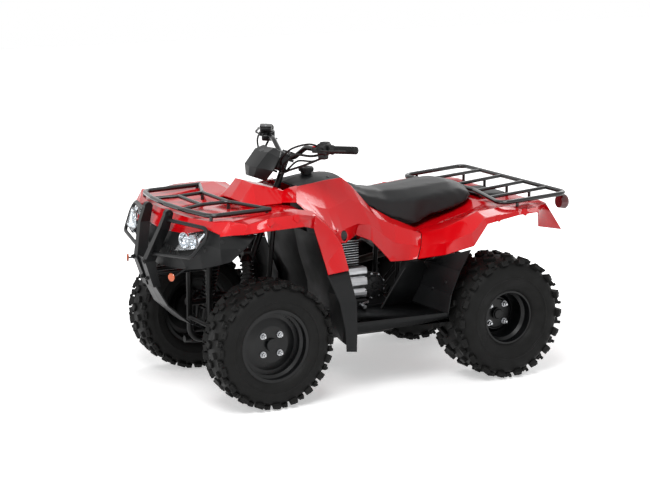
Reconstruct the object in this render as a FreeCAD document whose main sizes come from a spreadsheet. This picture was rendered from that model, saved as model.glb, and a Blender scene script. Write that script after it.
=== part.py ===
"""Utility quad bike, built as an assembly of separate pieces.

Frame: +X forward, +Y to the rider's left, +Z up, floor at zero, origin below the middle of the box.
All lengths are in millimetres and all angles in degrees.
"""
import FreeCAD, Part
import math
import os
import Sketcher
from FreeCAD import Placement, Rotation, Vector

DOC = FreeCAD.newDocument("QuadBike")

# Driving dimensions, grouped by the piece that they belong to
SIZES = {
    "vehicle": {
        "overall_length": 1905.0,
        "front_overhang": 409.5,
        "wheelbase": 1131.0,
        "fender_half_width": 480.0,
        "deck_height": 830.0,
    },
    "wheels": {
        "front_track": 770.0,
        "rear_track": 776.0,
        "front_tyre_radius": 272.0,
        "rear_tyre_radius": 272.0,
        "front_tyre_width": 178.0,
        "rear_tyre_width": 254.0,
        "front_flange_radius": 155.0,
        "rear_flange_radius": 124.0,
        "tyre_wall": 9.0,
        "lug_height": 13.0,
        "rim_wall": 4.0,
        "bead_gap": 0.3,
        "front_disc_depth": 42.0,
        "rear_disc_depth": 96.0,
        "stud_circle_radius": 55.0,
        "stud_radius": 8.5,
        "nut_length": 15.0,
        "hub_cap_radius": 26.0,
        "hub_radius": 72.0,
        "hub_length": 34.0,
    },
    "running_gear": {
        "kingpin_offset": 76.0,
        "caster_angle": 4.0,
        "knuckle_half_height": 74.0,
        "ball_joint_radius": 15.0,
        "knuckle_thickness": 24.0,
        "steer_arm_length": 60.0,
        "steer_arm_thickness": 11.0,
        "steer_pin_radius": 6.0,
        "tie_rod_radius": 7.0,
        "tie_eye_radius": 14.0,
        "tie_eye_height": 18.0,
        "arm_tube_radius": 11.0,
        "arm_bush_radius": 15.0,
        "arm_half_spread": 128.0,
        "shock_body_radius": 17.0,
        "spring_radius": 30.0,
        "spring_wire_radius": 4.5,
        "spring_pitch": 17.0,
        "rear_axle_radius": 15.0,
        "axle_housing_radius": 34.0,
        "swingarm_tube_radius": 20.0,
        "gear_case_radius": 82.0,
        "gear_case_width": 74.0,
        "drum_radius": 84.0,
        "drum_width": 46.0,
        "running_clearance": 0.05,
        "seat_clearance": 0.3,
    },
    "frame": {
        "rail_radius": 14.0,
        "brace_radius": 11.0,
        "rail_half_gap": 100.0,
        "rail_bend_radius": 60.0,
        "floor_clearance": 180.0,
    },
    "engine": {
        "crankcase_length": 270.0,
        "crankcase_width": 236.0,
        "crankcase_height": 200.0,
        "crankcase_corner": 34.0,
        "cylinder_length": 124.0,
        "cylinder_width": 150.0,
        "barrel_radius": 50.0,
        "fin_thickness": 3.0,
        "fin_pitch": 11.0,
        "cover_length": 112.0,
        "cover_height": 138.0,
        "cover_depth": 44.0,
        "cover_band_gap": 5.0,
        "exhaust_pipe_radius": 17.0,
        "muffler_radius": 58.0,
        "muffler_length": 330.0,
    },
    "bodywork": {
        "panel_wall": 4.0,
        "panel_gap": 1.5,
        "arch_pad_radius": 17.0,
        "arch_pad_height": 4.0,
        "fascia_wall": 5.0,
        "flap_wall": 5.0,
        "board_thickness": 40.0,
        "cap_radius": 34.0,
        "cap_height": 34.0,
        "valve_radius": 18.0,
        "lamp_depth": 46.0,
        "reflector_radius": 17.0,
        "reflector_depth": 9.0,
        "tail_lamp_radius": 34.0,
        "tail_lamp_depth": 40.0,
    },
    "carriers": {
        "rack_tube_radius": 10.0,
        "slat_tube_radius": 8.0,
        "rack_bend_radius": 45.0,
        "leg_radius": 7.0,
        "boss_radius": 9.0,
        "guard_tube_radius": 8.0,
        "guard_bend_radius": 40.0,
        "guard_plate_thickness": 26.0,
        "skid_thickness": 6.0,
        "skid_width": 190.0,
        "hitch_thickness": 8.0,
        "hitch_width": 110.0,
        "hitch_length": 90.0,
        "hitch_bore_radius": 8.5,
    },
    "controls": {
        "steer_column_angle": 22.0,
        "steer_column_radius": 13.0,
        "bearing_height": 24.0,
        "bar_radius": 11.0,
        "bar_bend_radius": 50.0,
        "grip_radius": 17.0,
        "grip_length": 118.0,
        "clamp_length": 26.0,
        "shield_wall": 4.0,
        "lever_radius": 5.0,
        "pedal_length": 150.0,
        "pedal_radius": 8.0,
    },
}


class Sizes:
    """Reads a driving dimension from the sheet by its name."""

    def __init__(self, sheet):
        self._sheet = sheet

    def __getattr__(self, name):
        return float(getattr(self._sheet, name))


def make_sheet():
    """Put every driving dimension in a named cell of one sheet."""
    sheet = DOC.addObject("Spreadsheet::Sheet", "Sizes")
    row = 1
    for group, values in SIZES.items():
        sheet.set(f"A{row}", group)
        row += 1
        for name, value in values.items():
            sheet.set(f"A{row}", name)
            sheet.set(f"B{row}", str(value))
            sheet.setAlias(f"B{row}", name)
            row += 1
    DOC.recompute()
    return sheet


SHEET = make_sheet()
s = Sizes(SHEET)

# Directions and places that many pieces share
X = Vector(1, 0, 0)
Y = Vector(0, 1, 0)
Z = Vector(0, 0, 1)
SIDES = {"left": 1, "right": -1}
front_axle_x = s.overall_length / 2 - s.front_overhang
rear_axle_x = front_axle_x - s.wheelbase
rail_low_z = s.floor_clearance + s.rail_radius
NODES = []


def place(x_share, y_share, z_share):
    """Give a point from shares of the wheelbase, the fenders' half width and the deck's height."""
    return Vector(
        rear_axle_x + s.wheelbase * x_share,
        s.fender_half_width * y_share,
        s.deck_height * z_share,
    )


def places(shares):
    """Give a list of points from a table of shares."""
    return [place(*row) for row in shares]


def mirrored(shape):
    """Copy a shape to the other side of the vehicle's middle plane."""
    return shape.mirror(Vector(), Y)


def to_side(shape, side):
    """Keep a left shape, or mirror it to the right."""
    return shape if side > 0 else mirrored(shape)


def both_sides(shape):
    """Join a left shape and its mirror image in one compound or solid."""
    return Part.makeCompound([shape, mirrored(shape)])


def joined(shapes):
    """Fuse shapes into one and drop the seams between flat faces."""
    first, *rest = shapes
    return first.multiFuse(rest).removeSplitter() if rest else first


def separate(shapes):
    """Keep shapes that don't touch as solids of one node."""
    solids = [solid for shape in shapes for solid in shape.Solids]
    return Part.makeCompound(solids)


def node(label, shape):
    """Add a shape that no feature tree fits better as a sub-part of its own."""
    piece = DOC.addObject("Part::Feature", label)
    piece.Label = label
    spot = shape.Placement
    solids = shape.Solids
    piece.Shape = shape if len(solids) > 1 else solids[0]
    piece.Placement = spot
    NODES.append(piece)
    return piece


def rod(start, end, radius):
    """Make a round bar between two points."""
    along = end - start
    return Part.makeCylinder(radius, along.Length, start, along)


def rounded_path(points, bend):
    """Make a wire of straight runs joined by tangent arcs at its inner points."""
    edges = []
    last = points[0]
    for before, corner, after in zip(points, points[1:], points[2:]):
        into = (corner - before).normalize()
        out = (after - corner).normalize()
        turn = into.getAngle(out)
        reach = min((corner - before).Length, (after - corner).Length) * BEND_SHARE
        radius = min(bend, reach / math.tan(turn / 2))
        setback = radius * math.tan(turn / 2)
        first = corner - into * setback
        final = corner + out * setback
        inward = (out - into).normalize()
        middle = corner + inward * (radius / math.cos(turn / 2) - radius)
        edges.append(Part.LineSegment(last, first).toShape())
        edges.append(Part.Arc(first, middle, final).toShape())
        last = final
    edges.append(Part.LineSegment(last, points[-1]).toShape())
    return Part.Wire(edges)


BEND_SHARE = 0.48


def tube(points, radius, bend):
    """Sweep a round bar along straight runs and tangent bends."""
    if len(points) == 2:
        return rod(points[0], points[1], radius)
    path = rounded_path(points, bend)
    ring = Part.Wire(Part.makeCircle(radius, points[0], points[1] - points[0]))
    return path.makePipeShell([ring], True, True)


HALF = 0.5


def boss(head, along, radius, carrier):
    """Make a round boss from its head along a direction, up to just short of what carries it."""
    side = along.cross(X) if abs(along.dot(X)) < HALF else along.cross(Y)
    side.normalize()
    distances = []
    for shift in (Vector(), side, side * -1, along.cross(side), side.cross(along)):
        start = head + shift * radius
        line = Part.makeLine(start, start + along * s.deck_height)
        distances += [(vertex.Point - start).Length for vertex in line.common(carrier).Vertexes]
    return rod(head, head + along * (min(distances) - s.seat_clearance), radius)


def prism(points, depth):
    """Push a flat outline along a vector."""
    return Part.Face(Part.makePolygon(points + points[:1])).extrude(depth)


def patch(a, b, c, d):
    """Close four corners with a flat face, or with a ruled one where they don't lie flat."""
    normal = (c - a).cross(d - b).normalize()
    if abs((b - a).dot(normal)) < FLATNESS and a.distanceToPoint(d) > FLATNESS:
        return Part.Face(Part.makePolygon([a, b, c, d, a]))
    ruled = Part.BSplineSurface()
    ruled.buildFromPolesMultsKnots([[a, d], [b, c]], [2, 2], [2, 2], [0, 1], [0, 1], False, False, 1, 1)
    return ruled.toShape()


FLATNESS = 1e-7


def end_cap(outline):
    """Close a loft's end by patches between corners that lie across from each other."""
    last = len(outline) - 1
    return [patch(outline[number], outline[number + 1], outline[last - number - 1], outline[last - number])
            for number in range(len(outline) // 2 - 1)]


def loft(outlines):
    """Join outlines of as many corners each, which need not be flat, into one ruled solid."""
    faces = end_cap(outlines[0]) + end_cap(outlines[-1])
    for near, far in zip(outlines, outlines[1:]):
        for number in range(len(near)):
            after = (number + 1) % len(near)
            faces.append(patch(near[number], near[after], far[after], far[number]))
    shell = Part.Shell(faces)
    shell.sewShape()
    solid = Part.Solid(shell)
    if solid.Volume < 0:
        solid.reverse()
    return solid


def symmetric(line):
    """Extend a left line of points, which ends in the middle plane, to the right edge."""
    other = [Vector(point.x, -point.y, point.z) for point in line]
    return line + other[::-1][1:]


# Wheels: rims, tyres and hubs
def body_sketch(body, name, plane):
    """Start a sketch on one of a body's own origin planes."""
    sketch = body.newObject("Sketcher::SketchObject", name)
    base = next(f for f in body.Origin.OriginFeatures if f.Role == plane)
    sketch.AttachmentSupport = (base, "")
    sketch.MapMode = "FlatFace"
    return sketch


def bound_outline(sketch, corners):
    """Draw a closed outline whose corners are held by expressions of the sheet's cells."""
    values = [(evaluate(across), evaluate(up)) for across, up in corners]
    for number, start in enumerate(values):
        end = values[(number + 1) % len(values)]
        sketch.addGeometry(Part.LineSegment(Vector(*start, 0), Vector(*end, 0)), False)
    for number in range(len(values)):
        following = (number + 1) % len(values)
        sketch.addConstraint(Sketcher.Constraint("Coincident", number, 2, following, 1))
    for number, (across, up) in enumerate(corners):
        for kind, text, value in (("DistanceX", across, values[number][0]),
                                  ("DistanceY", up, values[number][1])):
            index = sketch.addConstraint(Sketcher.Constraint(kind, -1, 1, number, 1, value))
            sketch.setExpression(f"Constraints[{index}]", text)


def evaluate(text):
    """Work out an expression of the sheet's cells."""
    return float(SHEET.evalExpression(text))


def revolved_body(label, corners, placement):
    """Make a sub-part by turning an outline, drawn as (axial, radial) corners, about its axle."""
    body = DOC.addObject("PartDesign::Body", label)
    body.Label = label
    sketch = body_sketch(body, f"{label}_profile", "XY_Plane")
    bound_outline(sketch, corners)
    turned = body.newObject("PartDesign::Revolution", f"{label}_turned")
    turned.Profile = sketch
    turned.ReferenceAxis = (sketch, ["H_Axis"])
    turned.Angle = FULL_TURN
    sketch.Visibility = False
    body.Placement = placement
    NODES.append(body)
    return body


FULL_TURN = 360.0
QUARTER_TURN = 90.0


def wheel_placement(x, y, z, side):
    """Stand a wheel's axis along Y, with its outer face away from the vehicle."""
    return Placement(Vector(x, y, z), Rotation(Z, QUARTER_TURN * side))


def tyre_outline(end):
    """Give a tyre's cross-section: tread, shoulders, walls, beads and the hollow behind them."""
    width, radius = f"Sizes.{end}_tyre_width", f"Sizes.{end}_tyre_radius"
    flange = f"Sizes.{end}_flange_radius"
    wall, gap = "Sizes.tyre_wall", "Sizes.bead_gap"
    outer = [
        (f"{width} * 0.36 - {gap}", f"{flange} - {wall}"),
        (f"{width} * 0.36 - {gap}", f"{flange} + {wall} * 0.4"),
        (f"{width} * 0.47", f"{flange} + {wall} * 1.6"),
        (f"{width} * 0.5", f"({radius} + {flange}) / 2"),
        (f"{width} * 0.49", f"{radius} * 0.9"),
        (f"{width} * 0.42", f"{radius} * 0.965"),
        (f"{width} * 0.22", f"{radius} - {wall} / 3"),
    ]
    inner = [
        (f"-{width} * 0.36 + {wall}", f"{radius} * 0.9 - {wall}"),
        (f"-{width} * 0.5 + {wall}", f"({radius} + {flange}) / 2"),
        (f"-{width} * 0.36 + {wall} * 1.4", f"{flange} - {wall}"),
    ]
    left = [(f"-({across})", up) for across, up in outer]
    right_inner = [(f"-({across})", up) for across, up in inner]
    crown = [("0", radius)]
    return left + crown + outer[::-1] + right_inner[::-1] + inner


# The tyre's beads stand on the rim's seats, and the disc stands inside the barrel
def add_rim(label, end, side, x, y, z):
    """Make a pressed steel wheel: barrel, disc, hub, studs with nuts and a centre cap."""
    radius = evaluate(f"Sizes.{end}_flange_radius")
    width = evaluate(f"Sizes.{end}_tyre_width")
    depth = evaluate(f"Sizes.{end}_disc_depth")
    wall = s.rim_wall
    seat = radius - s.tyre_wall - s.bead_gap
    half = width * RIM_SHARE
    well = seat - wall * 3
    outline = [
        (-half, radius), (-half, seat), (-half * 0.62, seat), (-half * 0.5, well),
        (half * 0.5, well), (half * 0.62, seat), (half, seat), (half, radius),
        (half + wall, radius), (half + wall, seat - wall), (half * 0.62, seat - wall),
        (half * 0.5, well - wall), (-half * 0.5, well - wall), (-half * 0.62, seat - wall),
        (-half - wall, seat - wall), (-half - wall, radius),
    ]
    disc_face = half + wall - depth
    dish = [
        (disc_face, 0), (disc_face, radius * 0.5), (disc_face - depth * 0.22, radius * 0.72),
        (disc_face - depth * 0.22, well - wall / 2), (disc_face - depth * 0.22 - wall, well - wall / 2),
        (disc_face - depth * 0.22 - wall, radius * 0.7), (disc_face - wall, radius * 0.48),
        (disc_face - wall, 0),
    ]
    barrel = turned_about_x(outline)
    disc = turned_about_x(dish)
    hub_back = Part.makeCylinder(s.hub_radius, s.hub_length, Vector(disc_face - wall - s.hub_length, 0, 0), X)
    cap = Part.makeCylinder(s.hub_cap_radius, s.nut_length, Vector(disc_face, 0, 0), X)
    pieces = [barrel, disc, hub_back, cap]
    for angle in range(0, int(FULL_TURN), int(QUARTER_TURN)):
        turn = math.radians(angle + QUARTER_TURN / 2)
        spot = Vector(disc_face, math.cos(turn), math.sin(turn))
        spot.y *= s.stud_circle_radius
        spot.z *= s.stud_circle_radius
        pieces.append(Part.makeCylinder(s.stud_radius, s.nut_length, spot, X))
    shape = joined(pieces)
    shape.Placement = wheel_placement(x, y, z, side)
    return node(label, shape)


RIM_SHARE = 0.36


def turned_about_x(outline):
    """Turn an outline of (axial, radial) corners about the X axis."""
    points = [Vector(across, up, 0) for across, up in outline]
    face = Part.Face(Part.makePolygon(points + points[:1]))
    return face.revolve(Vector(), X, FULL_TURN)


for side_name, side in SIDES.items():
    for end, axle_x, track in (("front", front_axle_x, s.front_track), ("rear", rear_axle_x, s.rear_track)):
        centre = (axle_x, side * track / 2, evaluate(f"Sizes.{end}_tyre_radius"))
        revolved_body(f"{end}_tyre_{side_name}", tyre_outline(end), wheel_placement(*centre, side))
        add_rim(f"{end}_rim_{side_name}", end, side, *centre)


# Front suspension: a knuckle on each kingpin, two arms, a spring and damper, and the tie rods
caster = math.radians(s.caster_angle)
kingpin_axis = Vector(-math.sin(caster), 0, math.cos(caster))
column_tilt = math.radians(s.steer_column_angle)
column_axis = Vector(-math.sin(column_tilt), 0, math.cos(column_tilt))
front_centre = Vector(front_axle_x, 0, s.front_tyre_radius)
kingpin_y = s.front_track / 2 - s.kingpin_offset
kingpin = front_centre + Y * kingpin_y
steer_arm_along = Y.cross(kingpin_axis)
upper_ball = kingpin + kingpin_axis * s.knuckle_half_height
lower_ball = kingpin - kingpin_axis * s.knuckle_half_height
front_disc_y = s.front_track / 2 + s.front_tyre_width * RIM_SHARE + s.rim_wall - s.front_disc_depth
hub_back_y = front_disc_y - s.rim_wall - s.hub_length
steer_pin = kingpin - steer_arm_along * s.steer_arm_length
eye_top = -(s.steer_arm_thickness / 2 + s.seat_clearance)
arm_inner_y = s.rail_half_gap + s.rail_radius + s.arm_bush_radius + s.seat_clearance


PIN_SHARE = 0.4


def knuckle():
    """Make the left knuckle: upright, stub axle, drum and the steering arm with its pin."""
    post = rod(lower_ball + kingpin_axis * s.ball_joint_radius * 1.2,
               upper_ball - kingpin_axis * s.ball_joint_radius * 1.2, s.knuckle_thickness / 2)
    back_y = hub_back_y - s.seat_clearance
    stub = rod(kingpin, Vector(front_axle_x, back_y, s.front_tyre_radius), s.knuckle_thickness)
    backing = rod(Vector(front_axle_x, back_y - s.rim_wall, s.front_tyre_radius),
                  Vector(front_axle_x, back_y, s.front_tyre_radius), s.hub_radius)
    half = Y * s.knuckle_thickness / 2
    arm_root = kingpin - kingpin_axis * s.steer_arm_thickness / 2
    arm_end = steer_pin - kingpin_axis * s.steer_arm_thickness / 2
    arm = prism([arm_root - half, arm_root + half, arm_end + half, arm_end - half],
                kingpin_axis * s.steer_arm_thickness)
    pin = rod(steer_pin, steer_pin - kingpin_axis * (s.tie_eye_height + s.steer_arm_thickness),
              s.steer_pin_radius)
    bores = []
    for ball, inward in ((lower_ball, kingpin_axis), (upper_ball, kingpin_axis * -1)):
        bores.append(rod(ball, ball + inward * s.ball_joint_radius * 2.4,
                         s.ball_joint_radius * PIN_SHARE + s.running_clearance))
    return joined([post, stub, backing, arm, pin]).cut(bores)


def suspension_arm(ball, inward, inner_z, perch_share):
    """Make one wishbone: an outer cup with the knuckle's pin, two legs and two bushes."""
    cup = rod(ball - kingpin_axis * s.ball_joint_radius, ball + kingpin_axis * s.ball_joint_radius,
              s.ball_joint_radius)
    pin = rod(ball, ball + inward * s.ball_joint_radius * 2, s.ball_joint_radius * PIN_SHARE)
    pieces = [cup, pin]
    for direction in (-1, 1):
        inner = Vector(ball.x + direction * s.arm_half_spread, arm_inner_y, inner_z)
        reach = X * s.arm_bush_radius
        pieces.append(rod(ball, inner, s.arm_tube_radius))
        pieces.append(rod(inner - reach, inner + reach, s.arm_bush_radius))
    if perch_share:
        middle = ball * (1 - perch_share) + Vector(ball.x, arm_inner_y, inner_z) * perch_share
        spread = X * s.arm_half_spread * perch_share
        pieces.append(rod(middle - spread, middle + spread, s.arm_tube_radius))
    return joined(pieces)


def coil_shock(foot, head, tail_share, spring_radius, eye_axis):
    """Make a damper with the outline of its wound spring as ridges of one turned sleeve."""
    along = head - foot
    length = along.Length
    start, stop = length * tail_share, length * (1 - tail_share / 2)
    outline = [(0, s.shock_body_radius * 0.7), (start, s.shock_body_radius * 0.7)]
    outline.append((start, spring_radius))
    turns = max(2, int((stop - start) / s.spring_pitch))
    pitch = (stop - start) / turns
    for turn in range(turns):
        at = start + pitch * turn
        outline.append((at + pitch * 0.4, spring_radius))
        outline.append((at + pitch * 0.5, spring_radius - s.spring_wire_radius * 2))
        outline.append((at + pitch * 0.9, spring_radius - s.spring_wire_radius * 2))
        outline.append((at + pitch, spring_radius))
    outline.append((length, s.shock_body_radius * 0.7))
    points = [Vector()] + [Vector(across, up, 0) for across, up in outline] + [Vector(length, 0, 0)]
    body = Part.Face(Part.makePolygon(points + points[:1])).revolve(Vector(), X, FULL_TURN)
    body.Placement = Placement(foot, Rotation(X, along))
    reach = eye_axis * spring_radius * 0.6
    eyes = [rod(spot - reach, spot + reach, s.shock_body_radius) for spot in (foot, head)]
    return joined([body] + eyes)


upper_inner_z = upper_ball.z + s.arm_bush_radius
lower_inner_z = rail_low_z
PERCH_SHARE = 0.34
left_arms = [suspension_arm(upper_ball, kingpin_axis * -1, upper_inner_z, 0),
             suspension_arm(lower_ball, kingpin_axis, lower_inner_z, PERCH_SHARE)]
node("a_arms", separate(left_arms + [mirrored(arm) for arm in left_arms]))
shock_foot = (lower_ball * (1 - PERCH_SHARE)
              + Vector(lower_ball.x, arm_inner_y, lower_inner_z) * PERCH_SHARE)
shock_foot = shock_foot + Z * (s.shock_body_radius + s.arm_tube_radius + s.seat_clearance)
shock_head = place(*(0.982, 0.287, 0.737))
left_shock = coil_shock(shock_foot, shock_head, 0.2, s.spring_radius, X)
node("front_shocks", both_sides(left_shock))
for side_name, side in SIDES.items():
    node(f"knuckle_{side_name}", to_side(knuckle(), side))

# Steering column, arm and tie rods: both rods hang below the column's arm on one pin
column_foot = place(*(0.978, 0, 0.388))
column_head = place(*(0.748, 0, 1.164))
column_head = column_foot + column_axis * (column_head - column_foot).dot(column_axis)
column_arm_along = Y.cross(column_axis)
column_pin = column_foot - column_arm_along * s.steer_arm_length
link_gap = s.seat_clearance * 3


def steering_shaft():
    """Make the column with the arm at its foot, the arm's pin and the bar's lower clamp plate."""
    shaft = rod(column_foot - column_axis * s.steer_arm_thickness, column_head, s.steer_column_radius)
    half = Y * s.tie_eye_radius
    root = column_foot - column_axis * s.steer_arm_thickness / 2
    end = column_pin - column_axis * s.steer_arm_thickness / 2
    arm = prism([root - half, root + half, end + half, end - half], column_axis * s.steer_arm_thickness)
    tip = rod(column_pin - column_axis * s.steer_arm_thickness / 2,
              column_pin + column_axis * s.steer_arm_thickness / 2, s.tie_eye_radius)
    drop = s.steer_arm_thickness / 2 + link_gap * 3 + s.tie_eye_height * 2
    pin = rod(column_pin, column_pin - column_axis * drop, s.steer_pin_radius)
    wide = Y * s.clamp_length * 1.6
    deep = column_arm_along * s.clamp_length * 0.6
    top = column_head
    plate = prism([top - wide - deep, top + wide - deep, top + wide + deep, top - wide + deep],
                  column_axis * s.steer_arm_thickness)
    return joined([shaft, arm, tip, pin, plate])


node("steering_shaft", steering_shaft())


def tie_rod(side, level):
    """Make a tie rod: an outer eye on the knuckle's pin, a bar and an inner eye at its level."""
    outer_pin = Vector(steer_pin.x, steer_pin.y * side, steer_pin.z)
    outer_top = outer_pin + kingpin_axis * eye_top
    outer = rod(outer_top, outer_top - kingpin_axis * s.tie_eye_height, s.tie_eye_radius)
    drop = s.steer_arm_thickness / 2 + link_gap + level * (s.tie_eye_height + link_gap)
    inner_top = column_pin - column_axis * drop
    inner = rod(inner_top, inner_top - column_axis * s.tie_eye_height, s.tie_eye_radius)
    bar = rod(outer_top - kingpin_axis * s.tie_eye_height / 2,
              inner_top - column_axis * s.tie_eye_height / 2, s.tie_rod_radius)
    shape = joined([outer, inner, bar])
    fit = s.steer_pin_radius + s.running_clearance
    loose = s.steer_pin_radius + s.rim_wall * 0.4
    reach = kingpin_axis * s.tie_eye_height * 2
    bore = rod(outer_top + reach, outer_top - reach, fit)
    slack = column_axis * s.tie_eye_height
    open_bore = rod(inner_top + slack, inner_top - slack * 2, loose)
    return shape.cut(bore).cut(open_bore)


for level, (side_name, side) in enumerate(SIDES.items()):
    node(f"tie_rod_{side_name}", tie_rod(side, level))

# Rear axle: the live axle turns in the swingarm's housing and carries both rear wheels
rear_centre = Vector(rear_axle_x, 0, s.rear_tyre_radius)
rear_disc_y = s.rear_track / 2 + s.rear_tyre_width * RIM_SHARE + s.rim_wall - s.rear_disc_depth
axle_end_y = rear_disc_y - s.rim_wall - s.hub_length - s.bead_gap
housing_half = axle_end_y - s.hub_length * 2.2
drum_y = housing_half + s.seat_clearance


def rear_axle():
    """Make the shaft with a wheel flange at each end."""
    shaft = rod(rear_centre - Y * axle_end_y, rear_centre + Y * axle_end_y, s.rear_axle_radius)
    flange = rod(rear_centre + Y * (axle_end_y - s.hub_length), rear_centre + Y * axle_end_y,
                 s.hub_radius * 0.8)
    return joined([shaft, flange, mirrored(flange)])


def swingarm():
    """Make the rear fork: a pivot tube, two arms, the axle housing, the gear case and the drum."""
    pivot = place(*(0.327, 0, 0.352))
    half = s.rail_half_gap - s.rail_radius - s.seat_clearance
    pieces = [rod(pivot - Y * half, pivot + Y * half, s.swingarm_tube_radius * 1.2)]
    housing = rod(rear_centre - Y * housing_half, rear_centre + Y * housing_half, s.axle_housing_radius)
    pieces.append(housing)
    arm_y = half - s.swingarm_tube_radius
    for direction in (-1, 1):
        shift = Y * arm_y * direction
        pieces.append(rod(pivot + shift, rear_centre + shift, s.swingarm_tube_radius))
    case_centre = rear_centre - Y * (arm_y + s.gear_case_width * 0.4)
    pieces.append(rod(case_centre, case_centre - Y * s.gear_case_width, s.gear_case_radius))
    drum = rear_centre + Y * (housing_half - s.drum_width)
    pieces.append(rod(drum, drum + Y * s.drum_width, s.drum_radius))
    seat = place(*(0.084, 0, 0.337))
    wide = Y * arm_y
    deep = X * s.swingarm_tube_radius
    pieces.append(prism([seat - wide - deep, seat + wide - deep, seat + wide + deep, seat - wide + deep],
                        Z * s.swingarm_tube_radius * 2))
    bore = rod(rear_centre - Y * housing_half * 2, rear_centre + Y * housing_half * 2,
               s.rear_axle_radius + s.running_clearance)
    return joined(pieces).cut(bore)


node("rear_axle", rear_axle())
node("swingarm", swingarm())
rear_shock_foot = place(*(0.084, 0, 0.337)) + Z * (s.swingarm_tube_radius * 2 + s.shock_body_radius
                                                + s.seat_clearance)
rear_shock_head = place(*(0.171, 0, 0.725))
rear_shock = coil_shock(rear_shock_foot, rear_shock_head, 0.16, s.spring_radius, Y)
cross_bore = rod(rear_shock_head - Y * s.rail_half_gap, rear_shock_head + Y * s.rail_half_gap,
                 s.brace_radius + s.seat_clearance)
node("rear_shock", rear_shock.cut(cross_bore))


# Main frame: two lower rails, two upper rails, uprights and cross tubes
def frame_side():
    """Make the left half of the frame as bent tubes."""
    low = s.floor_clearance + s.rail_radius
    y = s.rail_half_gap / s.fender_half_width
    loop = rails(RAIL_SHARES)
    loop[1].z = loop[2].z = rail_low_z
    arm_rail = rails(((1.119, 0.208, 0.434), (0.878, 0.208, 0.434)))
    for point in arm_rail:
        point.z = upper_inner_z
    tower_foot = Vector(shock_head.x, s.rail_half_gap, shock_head.z)
    tubes = [
        tube(loop, s.rail_radius, s.rail_bend_radius),
        rod(arm_rail[0], arm_rail[1], s.rail_radius),
        rod(rails(((0.311, 0.208, 0.239),))[0], rails(((0.295, 0.208, 0.677),))[0], s.brace_radius),
        rod(rails(((0.893, 0.208, 0.236),))[0], rails(((0.847, 0.208, 0.858),))[0], s.brace_radius),
        rod(rails(((0.309, 0.208, 0.361),))[0], rails(((0.005, 0.208, 0.781),))[0], s.brace_radius),
        rod(tower_foot, rails(((0.988, 0.208, 0.824),))[0], s.brace_radius),
    ]
    return tubes


# Each rail's points as shares of the wheelbase and the deck's height
RAIL_SHARES = ((0.235, 0.208, 0.398), (0.31, 0.208, 0.234), (1.119, 0.208, 0.234), (1.119, 0.208, 0.783), (0.792, 0.208, 0.875),
               (0.553, 0.208, 0.795), (0.297, 0.208, 0.675), (0.058, 0.208, 0.771), (-0.278, 0.208, 0.831))


def rails(shares):
    """Give points of a rail, which runs at the rails' own distance from the middle."""
    points = places(shares)
    for point in points:
        point.y = s.rail_half_gap
    return points


def main_frame():
    """Join both halves with the cross tubes."""
    pieces = []
    for piece in frame_side():
        pieces += [piece, mirrored(piece)]
    for start in rails(((1.119, 0.208, 0.361), (0.893, 0.208, 0.234), (0.31, 0.208, 0.234), (0.995, 0.208, 0.819),
                        (0.171, 0.208, 0.725), (-0.066, 0.208, 0.794), (-0.278, 0.208, 0.831), (1.119, 0.208, 0.651))):
        pieces.append(rod(start, Vector(start.x, -start.y, start.z), s.brace_radius))
    for level in (upper_inner_z + s.rail_radius * HALF, rails(RAIL_SHARES[4:5])[0].z - s.rail_radius):
        centre = column_foot + column_axis * ((level - column_foot.z) / column_axis.z)
        reach = column_axis * s.bearing_height * HALF
        pieces.append(rod(centre - reach, centre + reach, s.steer_column_radius + s.rail_radius))
        pieces.append(rod(centre - Y * s.rail_half_gap, centre + Y * s.rail_half_gap, s.brace_radius))
    shock_bar = Y * (shock_head.y - s.shock_body_radius - s.seat_clearance)
    middle = Vector(shock_head.x, 0, shock_head.z)
    pieces.append(rod(middle - shock_bar, middle + shock_bar, s.brace_radius))
    bore = rod(column_foot, column_head, s.steer_column_radius + s.running_clearance)
    return joined(pieces).cut(bore)


FRAME = main_frame()
node("main_frame", FRAME)


# Engine, exhaust and what hangs below the frame
def rounded_block(length, width, height, corner, centre):
    """Make a block about a centre, with the edges that run across the vehicle rounded."""
    block = Part.makeBox(length, width, height, centre - Vector(length, width, height) / 2)
    along = [edge for edge in block.Edges if abs(edge.tangentAt(edge.FirstParameter).y) > HALF]
    return block.makeFillet(corner, along)


CASE_SHARE = 0.8
case_centre = place(*(0.482, 0, 0.373))
case_centre.z = rail_low_z + s.rail_radius + s.seat_clearance + s.crankcase_height / 2


def crankcase():
    """Make the crankcase with its clutch cover on the right and its flywheel cover on the left."""
    half = s.crankcase_width / 2
    clutch = case_centre + Vector(-s.crankcase_length * 0.22, 0, -s.crankcase_height * 0.02)
    gearbox = case_centre - X * s.crankcase_length * 0.33
    flywheel = case_centre + Vector(s.crankcase_length * 0.18, 0, s.crankcase_height * 0.04)
    return joined([
        rounded_block(s.crankcase_length, s.crankcase_width * CASE_SHARE, s.crankcase_height,
                      s.crankcase_corner, case_centre),
        rod(clutch - Y * half, clutch, s.crankcase_height * 0.4),
        rod(gearbox, gearbox + Y * half, s.crankcase_height * 0.25),
        rod(flywheel - Y * half * 0.94, flywheel, s.crankcase_height * 0.42),
    ])


node("crankcase", crankcase())


cylinder_foot = case_centre + Vector(s.crankcase_length * 0.16, 0, s.crankcase_height / 2 + s.seat_clearance)


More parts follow.
